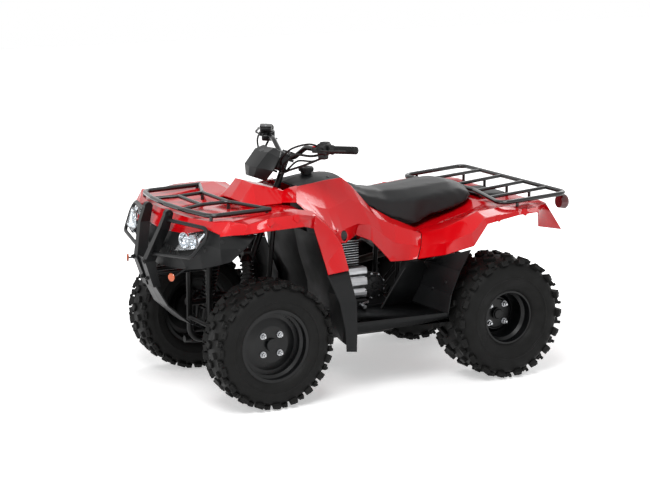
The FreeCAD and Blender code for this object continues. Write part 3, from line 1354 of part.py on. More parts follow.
def foot_pedals():
    """Make the gear pedal on the left and the brake pedal on the right."""
    solids = []
    reach = s.crankcase_width / 2 + s.pedal_radius * 2
    for side, face_share in ((1, CASE_SHARE), (-1, 1)):
        pivot = place(*(0.459, 0, 0.407)) + Y * reach
        root = Vector(pivot.x, s.crankcase_width / 2 * face_share + s.seat_clearance, pivot.z)
        tip = pivot + X * s.pedal_length
        arm = rod(pivot, tip, s.pedal_radius)
        toe = rod(tip, tip + Y * s.pedal_radius * 5, s.pedal_radius)
        solids.append(to_side(joined([rod(root, pivot, s.pedal_radius), arm, toe]), side))
    return separate(solids)


node("foot_pedals", foot_pedals())


# Check every object, then write one file for each sub-part
DOC.recompute()
for item in DOC.Objects:
    if "Invalid" in item.State or "Error" in item.State:
        raise RuntimeError(f"{item.Label} failed: {item.State}")
faults = [piece.Label for piece in NODES if piece.Shape.isNull() or not piece.Shape.isValid()]
if faults:
    raise RuntimeError(f"no valid shape: {faults}")
os.makedirs("parts", exist_ok=True)
for piece in NODES:
    piece.Shape.exportStep(os.path.join("parts", f"{piece.Label}.step"))
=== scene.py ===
"""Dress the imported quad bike: shells, wheels, seat, racks, lamps, controls and the studio round it.

Lengths in the classes are millimetres unless a name says otherwise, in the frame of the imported
model: +X forward, +Y to the rider's left, +Z up, with the floor at zero.
"""
import logging
import math
from dataclasses import dataclass, field
from enum import Enum
from typing import Sequence

import bmesh
import bpy
from mathutils import Matrix, Vector
from mathutils.bvhtree import BVHTree


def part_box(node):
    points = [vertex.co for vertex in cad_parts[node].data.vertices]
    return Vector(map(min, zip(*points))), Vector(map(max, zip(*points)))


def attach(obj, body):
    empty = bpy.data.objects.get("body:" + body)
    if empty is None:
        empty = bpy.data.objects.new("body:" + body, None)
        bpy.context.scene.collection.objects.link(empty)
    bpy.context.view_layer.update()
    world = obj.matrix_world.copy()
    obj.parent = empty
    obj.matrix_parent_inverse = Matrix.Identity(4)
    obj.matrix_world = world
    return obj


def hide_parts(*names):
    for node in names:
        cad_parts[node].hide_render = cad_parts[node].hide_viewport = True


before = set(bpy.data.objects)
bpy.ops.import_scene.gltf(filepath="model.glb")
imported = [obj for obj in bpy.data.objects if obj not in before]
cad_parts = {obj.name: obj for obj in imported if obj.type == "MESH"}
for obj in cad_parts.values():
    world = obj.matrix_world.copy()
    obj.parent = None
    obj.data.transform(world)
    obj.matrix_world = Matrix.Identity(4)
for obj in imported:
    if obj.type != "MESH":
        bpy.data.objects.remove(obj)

LOG = logging.getLogger("quad_bike")
MM = 0.001
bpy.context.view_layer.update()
MERGE_M = 1e-6
WELD_M = 2e-5
FLAT_DEG = 2.0
RIM_TURN = math.radians(50)
RIM_SHARE = 0.3
SIDES = {"left": 1.0, "right": -1.0}
Point = tuple[float, float, float]
Outline = Sequence[tuple[float, float]]
Rows = Sequence[Sequence[Point]]


def metres(point: Sequence[float]) -> Vector:
    """Turn a point in millimetres into a vector in metres."""
    return Vector(point) * MM


def shifted(matrix: Matrix, shift: Sequence[float]) -> Matrix:
    """Move a transform along its own axes by millimetres."""
    return matrix @ Matrix.Translation(metres(shift))


def rotation(axis: str, degrees: float) -> Matrix:
    """Give a turn about one axis."""
    return Matrix.Rotation(math.radians(degrees), 4, axis)


def frame_between(start: Vector, along: Vector) -> Matrix:
    """Give the matrix that carries local +Z onto a direction and the origin onto a start point in metres."""
    return Matrix.Translation(start) @ along.to_track_quat("Z", "Y").to_matrix().to_4x4()


def mirrored_point(point: Point, side: float) -> Point:
    """Give a left-hand point on either side of the vehicle."""
    return point[0], point[1] * side, point[2]


def linear(hex_colour: str) -> tuple[float, float, float, float]:
    """Turn an sRGB hex colour into the linear values that a shader takes.

    Args:
        hex_colour: Six hex digits.

    Returns:
        Linear red, green, blue and an alpha of one.
    """
    channels = [int(hex_colour[start:start + 2], 16) / 255 for start in (0, 2, 4)]
    values = [c / 12.92 if c <= 0.04045 else ((c + 0.055) / 1.055) ** 2.4 for c in channels]
    return values[0], values[1], values[2], 1.0


def add_node(tree: bpy.types.NodeTree, kind: str, settings: dict | None = None,
             inputs: dict | None = None) -> bpy.types.Node:
    """Add one shader node with its settings, and its inputs' values or links.

    Args:
        tree: The material's node tree.
        kind: The node's type name.
        settings: Attribute names with their values.
        inputs: Socket names or numbers, with a value or the socket that feeds each.

    Returns:
        The new node.
    """
    node = tree.nodes.new(kind)
    for name, value in (settings or {}).items():
        setattr(node, name, value)
    for name, value in (inputs or {}).items():
        if isinstance(value, bpy.types.NodeSocket):
            tree.links.new(value, node.inputs[name])
        else:
            node.inputs[name].default_value = value
    return node


class Texture(Enum):
    """How a surface is broken up at small scale, with the settings of its noise."""

    ORANGE_PEEL = (("Detail", 1.0),)
    PEBBLE = (("Smoothness", 0.6),)
    CAST = (("Detail", 8.0), ("Roughness", 0.75))
    BRUSHED = (("Detail", 2.0), ("Distortion", 0.0))
    RUBBED = (("Detail", 6.0), ("Distortion", 1.2))


@dataclass(frozen=True)
class Finish:
    """One surface finish: its colour, its gloss, its relief, and how it varies over the piece.

    Attributes:
        name: The material's common name and how it was made.
        colour: Main sRGB colour.
        shade: The darker or lighter sRGB colour that it drifts to.
        roughness: Roughness at the middle of its range.
        rough_range: How far roughness drifts either way.
        metallic: One for bare metal.
        ior: Index of refraction, for what isn't bare metal.
        texture: The kind of relief.
        grain_mm: Size of the relief's cells.
        relief_mm: Height of the relief.
        patch_mm: Size of the patches in which colour and gloss drift.
        coat: Weight of a clear coat.
        coat_roughness: Roughness of that coat.
        sheen: Weight of sheen, for fabric and dusty rubber.
        transmission: Weight of light that goes through.
        shine: Specular level; dusty and grained faces have less than the plain half.
    """

    name: str
    colour: str
    shade: str
    roughness: float
    rough_range: float = 0.05
    metallic: float = 0.0
    ior: float = 1.5
    texture: Texture = Texture.ORANGE_PEEL
    grain_mm: float = 1.0
    relief_mm: float = 0.02
    patch_mm: float = 60.0
    coat: float = 0.0
    coat_roughness: float = 0.03
    sheen: float = 0.0
    transmission: float = 0.0
    shine: float = 0.5

    def material(self) -> bpy.types.Material:
        """Give the finish's material, and build it on the first call.

        Returns:
            The material.
        """
        found = bpy.data.materials.get(self.name)
        if found:
            return found
        made = bpy.data.materials.new(self.name)
        made.use_nodes = True
        tree = made.node_tree
        shader = tree.nodes["Principled BSDF"]
        place = add_node(tree, "ShaderNodeTexCoord").outputs["Object"]
        drift = add_node(tree, "ShaderNodeTexNoise", None,
                         {"Vector": place, "Scale": 1000 / self.patch_mm, "Detail": 5.0})
        shading = add_node(tree, "ShaderNodeMix", {"data_type": "RGBA"},
                           {0: drift.outputs["Fac"], 6: linear(self.colour), 7: linear(self.shade)})
        gloss = add_node(tree, "ShaderNodeMapRange", None,
                         {"Value": drift.outputs["Fac"], "From Min": 0.3, "From Max": 0.7,
                          "To Min": self.roughness - self.rough_range,
                          "To Max": self.roughness + self.rough_range})
        height = self.relief(tree, place)
        bump = add_node(tree, "ShaderNodeBump", None,
                        {"Height": height, "Strength": 1.0, "Distance": self.relief_mm * MM})
        tree.links.new(shading.outputs[2], shader.inputs["Base Color"])
        tree.links.new(gloss.outputs["Result"], shader.inputs["Roughness"])
        tree.links.new(bump.outputs["Normal"], shader.inputs["Normal"])
        for socket, value in (("Metallic", self.metallic), ("Coat Weight", self.coat),
                              ("Coat Roughness", self.coat_roughness), ("Sheen Weight", self.sheen),
                              ("Transmission Weight", self.transmission), ("Specular IOR Level", self.shine)):
            shader.inputs[socket].default_value = value
        if self.metallic < 1.0:
            shader.inputs["IOR"].default_value = self.ior
        made.diffuse_color = linear(self.colour)
        return made

    def relief(self, tree: bpy.types.NodeTree, place: bpy.types.NodeSocket) -> bpy.types.NodeSocket:
        """Add the nodes of the finish's relief.

        Args:
            tree: The material's node tree.
            place: The socket that gives the place on the piece.

        Returns:
            The socket that gives the height.
        """
        if self.texture is Texture.BRUSHED:
            place = add_node(tree, "ShaderNodeMapping", None,
                             {"Vector": place, "Scale": (1.0, 0.06, 1.0)}).outputs["Vector"]
        inputs = {"Vector": place, "Scale": 1000 / self.grain_mm, **dict(self.texture.value)}
        if self.texture is Texture.PEBBLE:
            cells = add_node(tree, "ShaderNodeTexVoronoi", {"feature": "SMOOTH_F1"}, inputs)
            return cells.outputs["Distance"]
        return add_node(tree, "ShaderNodeTexNoise", None, inputs).outputs["Fac"]


# ABS moulded in red with a high gloss: an even, wet look with a faint orange peel
RED_SHELL = Finish("moulded_abs_red", "DE0713", "CE0510", 0.14, 0.04, grain_mm=9.0, relief_mm=0.02,
                   patch_mm=220.0, coat=0.08, shine=0.34)
# Black polypropylene, moulded with a fine leathery grain: dull, and a little paler where it is rubbed
GRAINED_BLACK = Finish("moulded_polypropylene_black", "0D0E0F", "131415", 0.5, 0.08, texture=Texture.PEBBLE,
                       grain_mm=1.6, relief_mm=0.05, patch_mm=90.0, shine=0.22)
# The same plastic with a smoother mould face, on the guards round the lamps
SATIN_BLACK = Finish("moulded_nylon_black", "0C0D0E", "121314", 0.36, 0.06, texture=Texture.CAST,
                     grain_mm=1.2, relief_mm=0.02, patch_mm=110.0, shine=0.28)
# Steel tube in black powder coat: glossy with a slow ripple
POWDER_COAT = Finish("powder_coated_steel_black", "070708", "0C0C0D", 0.24, 0.05, grain_mm=3.0,
                     relief_mm=0.03, patch_mm=80.0, coat=0.3, coat_roughness=0.12, shine=0.45)
# Chassis steel in satin black paint: duller, with a film of dust
CHASSIS_PAINT = Finish("painted_steel_satin_black", "08090A", "0F0F0F", 0.42, 0.1, grain_mm=2.0,
                       relief_mm=0.03, patch_mm=50.0, shine=0.25)
# Engine castings painted black: a sandy cast face
PAINTED_CASTING = Finish("painted_cast_alloy_black", "0F0F10", "19191A", 0.46, 0.1, texture=Texture.CAST,
                         grain_mm=1.8, relief_mm=0.12, patch_mm=40.0, shine=0.25)
# Bare cast alloy of the side cover: pale grey, slightly rough
BARE_CASTING = Finish("cast_aluminium_bare", "C6C8CA", "AEB0B3", 0.34, 0.08, metallic=1.0,
                      texture=Texture.CAST, grain_mm=1.4, relief_mm=0.05, patch_mm=30.0)
# Machined fin edges of the cylinder: brighter than the painted casting behind them
FIN_EDGE = Finish("machined_aluminium_edge", "DADDE0", "BFC2C5", 0.34, 0.1, metallic=1.0,
                  texture=Texture.BRUSHED, grain_mm=0.8, relief_mm=0.02, patch_mm=12.0)
# Heat-stained steel of the exhaust
PIPE_STEEL = Finish("heat_stained_steel", "4A4440", "2E2B2A", 0.42, 0.1, metallic=1.0,
                    texture=Texture.RUBBED, grain_mm=4.0, relief_mm=0.03, patch_mm=70.0)
# Zinc-plated steel of rods, nuts and shafts: pale, slightly clouded
ZINC_STEEL = Finish("zinc_plated_steel", "C9CACC", "A4A6A9", 0.3, 0.08, metallic=1.0,
                    texture=Texture.BRUSHED, grain_mm=0.6, relief_mm=0.01, patch_mm=9.0)
# Wheel steel in black stove enamel
WHEEL_ENAMEL = Finish("stove_enamelled_steel_black", "060708", "0B0C0D", 0.34, 0.07, grain_mm=2.4,
                      relief_mm=0.02, patch_mm=60.0, shine=0.3)
# Tyre rubber, as moulded: deep grey-black, dull, with a trace of dust in its patches
TYRE_RUBBER = Finish("vulcanised_tyre_rubber", "0B0B0B", "121211", 0.62, 0.1, texture=Texture.RUBBED,
                     grain_mm=2.2, relief_mm=0.08, patch_mm=45.0, shine=0.18)
# Soft rubber of the grips
GRIP_RUBBER = Finish("moulded_grip_rubber", "0A0A0A", "101010", 0.58, 0.06, texture=Texture.PEBBLE,
                     grain_mm=1.2, relief_mm=0.05, patch_mm=20.0, shine=0.25)
# Seat cover: coated fabric with a fine leather grain, a soft satin gloss
SEAT_VINYL = Finish("embossed_seat_vinyl", "101112", "161718", 0.46, 0.05, texture=Texture.PEBBLE,
                    grain_mm=2.0, relief_mm=0.09, patch_mm=120.0, sheen=0.08, shine=0.3)
# Clear polycarbonate of the lamps
LAMP_LENS = Finish("moulded_polycarbonate_clear", "F4F7FA", "EDF1F4", 0.04, 0.01, ior=1.58, grain_mm=14.0,
                   relief_mm=0.02, transmission=1.0)
# Vacuum-plated reflector bowl behind the lens
PLATED_BOWL = Finish("aluminised_reflector", "DDE0E3", "C4C8CC", 0.12, 0.04, metallic=1.0, grain_mm=7.0,
                     relief_mm=0.03, patch_mm=25.0)
# Amber and dark red acrylic, moulded
AMBER_ACRYLIC = Finish("moulded_acrylic_amber", "D4590F", "B8470B", 0.16, 0.03, ior=1.49,
                       texture=Texture.PEBBLE, grain_mm=3.2, relief_mm=0.2, patch_mm=15.0, coat=0.5)
RED_ACRYLIC = Finish("moulded_acrylic_dark_red", "6B0D14", "4C0A10", 0.16, 0.03, ior=1.49,
                     texture=Texture.PEBBLE, grain_mm=3.2, relief_mm=0.2, patch_mm=15.0, coat=0.5)
# Red-anodised switch button
SWITCH_RED = Finish("moulded_switch_red", "B5121B", "A01018", 0.35, 0.04, grain_mm=1.0, relief_mm=0.01)


@dataclass(frozen=True)
class Place:
    """Where a new piece belongs.

    Attributes:
        body: The body it rides on.
        slot: Its material slot.
        replaced: The nodes it stands for.
    """

    body: str
    slot: str
    replaced: tuple[str, ...] = ()


BODY_BLACK = Place("chassis", "black_plastic")
BODY_ZINC = Place("chassis", "zinc_steel")
BODY_ALLOY = Place("chassis", "bright_alloy")
BAR_BLACK = Place("steering", "black_plastic")


def add_object(name: str, data: bpy.types.ID) -> bpy.types.Object:
    """Make an object and link it to the scene.

    Args:
        name: The object's name.
        data: Its mesh, lamp or camera.

    Returns:
        The new object.
    """
    made = bpy.data.objects.new(name, data)
    bpy.context.scene.collection.objects.link(made)
    return made


def mesh_of(name: str, bm: bmesh.types.BMesh) -> bpy.types.Mesh:
    """Store a bmesh as a mesh and free it.

    Args:
        name: The mesh's name.
        bm: What it is made of.

    Returns:
        The new mesh.
    """
    mesh = bpy.data.meshes.new(name)
    bm.to_mesh(mesh)
    bm.free()
    return mesh


def node_shape(node: str, flatten: bool = False) -> bmesh.types.BMesh:
    """Copy a node's mesh with its doubled points merged.

    Args:
        node: The node's name.
        flatten: Whether faces in one plane are joined as well.

    Returns:
        A new bmesh.
    """
    bm = bmesh.new()
    bm.from_mesh(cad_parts[node].data)
    bmesh.ops.remove_doubles(bm, verts=bm.verts, dist=WELD_M)
    if flatten:
        bmesh.ops.dissolve_limit(bm, angle_limit=math.radians(FLAT_DEG), verts=bm.verts, edges=bm.edges)
    return bm


def round_off(bm: bmesh.types.BMesh, edges: Sequence[bmesh.types.BMEdge], radius_mm: float,
              segments: int) -> None:
    """Round edges by a bevel.

    Args:
        bm: Their mesh.
        edges: The edges.
        radius_mm: Radius of the rounding.
        segments: Steps of the rounding.
    """
    bmesh.ops.bevel(bm, geom=edges, offset=radius_mm * MM, segments=segments, profile=0.5, affect="EDGES",
                    material=-1, clamp_overlap=True)


def settle(name: str, bm: bmesh.types.BMesh, finish: Finish, place: Place,
           smooth_deg: float) -> bpy.types.Object:
    """Turn a bmesh into a finished piece that rides on its body.

    Args:
        name: The piece's name.
        bm: Its mesh in metres, in the model's frame; it is freed here.
        finish: The finish it takes.
        place: Its body, slot and replaced nodes.
        smooth_deg: Edges sharper than this stay sharp.

    Returns:
        The new object.
    """
    bmesh.ops.remove_doubles(bm, verts=bm.verts, dist=MERGE_M)
    bmesh.ops.recalc_face_normals(bm, faces=bm.faces)
    return seat_mesh(name, mesh_of(name, bm), finish, place, smooth_deg)


def seat_mesh(name: str, mesh: bpy.types.Mesh, finish: Finish, place: Place,
              smooth_deg: float) -> bpy.types.Object:
    """Link a mesh as a piece, with its finish, smoothing, body and replaced nodes.

    Args:
        name: The piece's name.
        mesh: Its mesh in metres.
        finish: The finish it takes.
        place: Its body, slot and replaced nodes.
        smooth_deg: Edges sharper than this stay sharp.

    Returns:
        The new object.
    """
    mesh.polygons.foreach_set("use_smooth", [True] * len(mesh.polygons))
    mesh.set_sharp_from_angle(angle=math.radians(smooth_deg))
    piece = add_object(name, mesh)
    mesh.materials.clear()
    mesh.materials.append(finish.material())
    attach(piece, place.body)
    if place.replaced:
        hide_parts(*place.replaced)
    LOG.info("%s: %d faces, on %s", name, len(mesh.polygons), place.body)
    return piece


def add_turned(bm: bmesh.types.BMesh, outline: Outline, matrix: Matrix, steps: int = 48) -> None:
    """Spin an outline of (radius, height) pairs about local Z into a closed skin.

    Args:
        bm: The mesh that receives it.
        outline: Radii and heights in millimetres, in order.
        matrix: Where the turned shape goes.
        steps: Steps round the full turn.
    """
    before = set(bm.verts)
    row = [bm.verts.new(metres((radius, 0.0, height))) for radius, height in outline]
    edges = [bm.edges.new(pair) for pair in zip(row, row[1:])]
    bmesh.ops.spin(bm, geom=row + edges, cent=(0, 0, 0), axis=(0, 0, 1), angle=math.tau, steps=steps,
                   use_merge=True)
    made = [vert for vert in bm.verts if vert not in before]
    bmesh.ops.remove_doubles(bm, verts=made, dist=MERGE_M)
    made = [vert for vert in bm.verts if vert not in before]
    bmesh.ops.transform(bm, matrix=matrix, verts=made)


def add_block(bm: bmesh.types.BMesh, size: Point, matrix: Matrix, bevel_mm: float, segments: int) -> None:
    """Add a bevelled block, centred on its local origin.

    Args:
        bm: The mesh that receives it.
        size: Its three lengths in millimetres.
        matrix: Where it goes.
        bevel_mm: Radius of its rounded edges.
        segments: Steps of each rounding.
    """
    made = bmesh.ops.create_cube(bm, size=1.0)["verts"]
    bmesh.ops.scale(bm, vec=metres(size), verts=made)
    bmesh.ops.transform(bm, matrix=matrix, verts=made)
    round_off(bm, list({edge for vert in made for edge in vert.link_edges}), bevel_mm, segments)


@dataclass(frozen=True)
class NutShares:
    """Proportions of a nut, in shares of its width across corners or of its height.

    Attributes:
        chamfer: Bevel of the upper corners, of the width.
        stud: Radius of the stud, of the width.
        stud_tip: Radius of its tip, of the stud's.
        collar: Radius of the washer face, of the width.
        neck_height: Height at which the tip begins, of the nut's.
        stud_height: Height of the stud, of the nut's.
        collar_height: Height of the washer face, of the nut's.
    """

    chamfer: float = 0.09
    stud: float = 0.28
    stud_tip: float = 0.8
    collar: float = 0.62
    neck_height: float = 1.35
    stud_height: float = 1.5
    collar_height: float = 0.16


NUT = NutShares()


def add_hex_nut(bm: bmesh.types.BMesh, matrix: Matrix, across_mm: float, height_mm: float) -> None:
    """Add a hexagon nut on its washer face, with its stud's end.

    Args:
        bm: The mesh that receives it.
        matrix: Where its seat goes, with local +Z out of the seat.
        across_mm: Width across the corners.
        height_mm: Height of the hexagon.
    """
    before = set(bm.verts)
    made = bmesh.ops.create_cone(bm, cap_ends=True, segments=6, radius1=across_mm / 2 * MM,
                                 radius2=across_mm / 2 * MM, depth=height_mm * MM)["verts"]
    bmesh.ops.translate(bm, vec=metres((0, 0, height_mm / 2)), verts=made)
    top = [edge for edge in {e for v in made for e in v.link_edges}
           if all(v.co.z > height_mm * 0.9 * MM for v in edge.verts)]
    bmesh.ops.bevel(bm, geom=top, offset=across_mm * NUT.chamfer * MM, segments=2, profile=0.5,
                    affect="EDGES", material=-1)
    bmesh.ops.transform(bm, matrix=matrix, verts=[vert for vert in bm.verts if vert not in before])
    stud, collar = across_mm * NUT.stud, across_mm * NUT.collar
    end, foot = height_mm * NUT.stud_height, height_mm * NUT.collar_height
    add_turned(bm, [(0, height_mm), (stud, height_mm), (stud, height_mm * NUT.neck_height),
                    (stud * NUT.stud_tip, end), (0, end)], matrix, 16)
    add_turned(bm, [(0, 0), (collar, 0), (collar, foot), (0, foot)], matrix, 24)


@dataclass
class Lugs:
    """One row of tread lugs round a tyre.

    Attributes:
        count: How many stand round the tyre.
        across: Middle of a lug from the tyre's middle plane, in shares of the half width.
        width: Its length along the axle.
        length: Its length round the tyre.
        height: How far it stands out of the carcass.
        skew_deg: How far it turns on the tread.
        lean_deg: How far it leans over the shoulder.
        phase: Its shift round the tyre, in shares of the spacing.
        sink: How far its foot reaches into the carcass.
    """

    count: int
    across: float
    width: float
    length: float
    height: float
    skew_deg: float
    lean_deg: float
    phase: float
    sink: float = 7.0


@dataclass
class Tyre:
    """A knobbly off-road tyre: a turned carcass with rows of lugs.

    Attributes:
        section: Carcass outline as (radius share, half width share) from the bead to the crown.
        lugs: The rows of lugs; each is repeated on both sides with the skew mirrored.
        steps: Steps round the carcass.
        lug_edge: Bevel of a lug's edges.
        bead_shares: Where the bead's inner edge lies, in shares of the section's first point.
    """

    section: Outline
    lugs: Sequence[Lugs]
    steps: int = 120
    lug_edge: float = 2.4
    bead_shares: tuple[float, float] = (0.99, 0.8)

    def build(self, node: str, body: str) -> None:
        """Make the tyre in the place of its node.

        Args:
            node: The node it stands for.
            body: The body it rides on.
        """
        low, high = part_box(node)
        centre = (low + high) / 2
        radius = (high.z - low.z) / 2 / MM
        half = (high.y - low.y) / 2 / MM
        matrix = Matrix.Translation(centre) @ rotation("X", -90)
        bm = bmesh.new()
        near = [(radius * r, half * w) for r, w in self.section]
        inner = [(near[0][0] * self.bead_shares[0], near[0][1] * self.bead_shares[1])]
        outline = inner + near + [(r, -w) for r, w in reversed(near)] + [(inner[0][0], -inner[0][1])]
        add_turned(bm, outline + inner, matrix, self.steps)
        for row in self.lugs:
            for side in (1, -1):
                self.add_row(bm, row, side, radius, half, matrix)
        settle(f"{node}_tread", bm, TYRE_RUBBER, Place(body, "tyre_rubber", (node,)), 32.0)

    def add_row(self, bm: bmesh.types.BMesh, row: Lugs, side: int, radius: float, half: float,
                matrix: Matrix) -> None:
        """Add one row of lugs on one side.

        Args:
            bm: The mesh that receives it.
            row: The row's sizes.
            side: 1 or -1 for the two sides of the middle plane.
            radius: The tyre's radius at the lugs' tips.
            half: Half the tyre's width.
            matrix: Where the wheel goes.
        """
        drop = math.sin(math.radians(row.lean_deg)) * row.width / 2
        tip = radius - row.height - row.sink - drop * 0.4
        for number in range(row.count):
            turn = math.tau * (number + row.phase + (0.5 if side < 0 else 0.0)) / row.count
            spot = shifted(Matrix.Rotation(turn, 4, "Z"),
                           (tip + (row.height + row.sink) / 2 - drop, 0.0, half * row.across * side))
            tilt = rotation("Y", row.lean_deg * side) @ rotation("X", row.skew_deg * side)
            add_block(bm, (row.height + row.sink, row.length, row.width), matrix @ spot @ tilt,
                      self.lug_edge, 1)


@dataclass
class WheelCentre:
    """Nuts and hub cap on a wheel's disc.

    Attributes:
        disc_out: Distance of the disc's outer face from the middle plane of the vehicle.
        bolt_radius: Radius of the circle of nuts.
        cap_radius: Radius of the hub cap.
        cap_height: Height of the hub cap.
        nut_across: Nut's width across corners.
        nut_height_share: Nut's height in shares of that width.
        nut_lift: Gap between the disc and a nut's foot.
        cap_shares: The cap's outline in shares of its radius and height.
        count: Number of nuts.
        phase_deg: Turn of the first nut.
    """

    disc_out: float
    bolt_radius: float
    cap_radius: float
    cap_height: float
    nut_across: float = 21.5
    nut_height_share: float = 0.73
    nut_lift: float = 0.3
    cap_shares: Outline = ((1.02, 0.25), (0.94, 0.7), (0.8, 0.92), (0.4, 0.98), (0, 1))
    count: int = 4
    phase_deg: float = 45.0

    def build(self, name: str, rim: str, body: str, side: float) -> None:
        """Make the nuts and the cap.

        Args:
            name: First part of the pieces' names.
            rim: The rim node they sit in.
            body: The body they ride on.
            side: 1 for the left and -1 for the right.
        """
        low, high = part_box(rim)
        centre = (low + high) / 2
        seat = Vector((centre.x, side * self.disc_out * MM, centre.z))
        out = frame_between(seat, Vector((0, side, 0)))
        nuts = bmesh.new()
        for number in range(self.count):
            turn = math.radians(self.phase_deg) + math.tau * number / self.count
            spot = shifted(out, (math.cos(turn) * self.bolt_radius, math.sin(turn) * self.bolt_radius,
                                 self.nut_lift))
            add_hex_nut(nuts, spot, self.nut_across, self.nut_across * self.nut_height_share)
        settle(f"{name}_nuts", nuts, ZINC_STEEL, Place(body, "zinc_steel"), 25.0)
        cap = bmesh.new()
        r, h = self.cap_radius, self.cap_height
        add_turned(cap, [(0, 0.2), (r, 0.2)] + [(r * a, h * b) for a, b in self.cap_shares], out, 40)
        settle(f"{name}_cap", cap, WHEEL_ENAMEL, Place(body, "rim_paint"), 35.0)


@dataclass
class Wheels:
    """All four tyres, with the centres of their wheels.

    Attributes:
        front_tyre: Section and lugs of the front tyres.
        rear_tyre: The same for the wider rear tyres.
        front_centre: Nuts and caps of the front wheels.
        rear_centre: Nuts and caps of the rear wheels.
    """

    front_tyre: Tyre = field(default_factory=lambda: Tyre(
        section=((0.552, 0.70), (0.575, 0.80), (0.60, 0.875), (0.66, 0.925), (0.705, 0.945), (0.708, 0.965),
                 (0.724, 0.972), (0.735, 0.955), (0.80, 0.95), (0.86, 0.90), (0.905, 0.80), (0.935, 0.62),
                 (0.948, 0.4), (0.955, 0.0)),
        lugs=(Lugs(20, 0.80, 34, 34, 13, 8, 32, 0.0), Lugs(20, 0.66, 26, 26, 12, -14, 18, 0.5),
              Lugs(20, 0.22, 30, 28, 12, 24, 2, 0.25), Lugs(40, 0.90, 14, 12, 5, 0, 66, 0.0, 4.0))))
    rear_tyre: Tyre = field(default_factory=lambda: Tyre(
        section=((0.43, 0.74), (0.46, 0.83), (0.50, 0.895), (0.60, 0.945), (0.645, 0.955), (0.65, 0.972),
                 (0.668, 0.978), (0.68, 0.962), (0.76, 0.965), (0.84, 0.92), (0.895, 0.82), (0.928, 0.64),
                 (0.942, 0.4), (0.948, 0.0)),
        lugs=(Lugs(18, 0.80, 48, 36, 15, 10, 30, 0.0), Lugs(18, 0.62, 34, 30, 14, -18, 14, 0.5),
              Lugs(18, 0.24, 52, 26, 14, 30, 2, 0.2), Lugs(36, 0.91, 16, 13, 5, 0, 68, 0.0, 4.0))))
    front_centre: WheelCentre = field(default_factory=lambda: WheelCentre(411.1, 55.0, 27.0, 16.0))
    rear_centre: WheelCentre = field(default_factory=lambda: WheelCentre(387.4, 55.0, 25.0, 22.0))

    def build(self) -> None:
        """Make the tyres, nuts and caps of all four wheels."""
        for side_name, side in SIDES.items():
            front_body = f"front_wheel_{side_name}"
            self.front_tyre.build(f"front_tyre_{side_name}", front_body)
            self.front_centre.build(f"front_wheel_{side_name}", f"front_rim_{side_name}", front_body, side)
            self.rear_tyre.build(f"rear_tyre_{side_name}", "rear_axle")
            self.rear_centre.build(f"rear_wheel_{side_name}", f"rear_rim_{side_name}", "rear_axle", side)
            for end in ("front", "rear"):
                dress_node(f"{end}_rim_{side_name}", WHEEL_ENAMEL)


def dress_node(node: str, finish: Finish) -> None:
    """Give a node of the model its finish.

    Args:
        node: The node's name.
        finish: Its finish.
    """
    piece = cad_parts[node]
    piece.data.materials.clear()
    piece.data.materials.append(finish.material())
    LOG.info("%s: %s", node, finish.name)


@dataclass
class MouldedShell:
    """A moulded wall of the body: the node's own shape with its creases and rims rounded.

    Attributes:
        node: The node it stands for.
        slot: Its material slot.
        finish: Its finish.
        body: The body it rides on.
        crease_mm: Radius of the soft creases across the panel.
        rim_mm: Radius of the sharp rims.
        soft_deg: Creases turn at least this much.
        rim_deg: Edges that turn more than this are rims.
        fold_deg: Edges that turn more than this are folds of no width and stay.
        smooth_deg: Edges sharper than this are shaded sharp.
    """

    node: str
    slot: str
    finish: Finish
    body: str = "chassis"
    crease_mm: float = 5.0
    rim_mm: float = 1.1
    soft_deg: float = 7.0
    rim_deg: float = 62.0
    fold_deg: float = 179.0
    smooth_deg: float = 28.0

    def build(self) -> None:
        """Make the rounded shell."""
        bm = node_shape(self.node, flatten=True)
        self.round_edges(bm, self.soft_deg, self.rim_deg, self.crease_mm, 3)
        self.round_edges(bm, self.rim_deg, self.fold_deg, self.rim_mm, 2)
        bmesh.ops.triangulate(bm, faces=[face for face in bm.faces if len(face.verts) > 4])
        name = f"{self.node}_moulded"
        seat_mesh(name, mesh_of(name, bm), self.finish, Place(self.body, self.slot, (self.node,)),
                  self.smooth_deg)

    def round_edges(self, bm: bmesh.types.BMesh, low_deg: float, high_deg: float, radius_mm: float,
                    segments: int) -> None:
        """Bevel the edges whose faces turn between two angles.

        Args:
            bm: The shell's mesh.
            low_deg: Smallest turn.
            high_deg: Largest turn.
            radius_mm: Radius of the rounding.
            segments: Steps of the rounding.
        """
        low, high = math.radians(low_deg), math.radians(high_deg)
        edges = [edge for edge in bm.edges
                 if len(edge.link_faces) == 2 and low < edge.calc_face_angle(0.0) <= high
                 and edge.calc_length() > radius_mm * 1.5 * MM]
        round_off(bm, edges, radius_mm, segments)


class ShellGroup(Enum):
    """The mouldings of the body, by what they are made of."""

    RED = ("front_fender", "hood", "side_panel_left", "side_panel_right", "rear_fender")
    GRAINED = ("front_fascia", "mudguards", "footboards", "tank_cover", "tail_cover")
    SATIN = ("handlebar_shield",)


@dataclass
class Bodywork:
    """The red shells and the black mouldings between them.

    Attributes:
        shell_slot: Material slot of the red shells.
        trim_slot: Material slot of the black mouldings.
        trim_crease: Radius of the creases in the black mouldings.
    """

    shell_slot: str = "red_plastic"
    trim_slot: str = "black_plastic"
    trim_crease: float = 3.0

    def build(self) -> None:
        """Make every shell."""
        for node in ShellGroup.RED.value:
            MouldedShell(node, self.shell_slot, RED_SHELL).build()
        for node in ShellGroup.GRAINED.value:
            MouldedShell(node, self.trim_slot, GRAINED_BLACK, crease_mm=self.trim_crease).build()
        for node in ShellGroup.SATIN.value:
            MouldedShell(node, self.trim_slot, SATIN_BLACK, "steering", self.trim_crease).build()


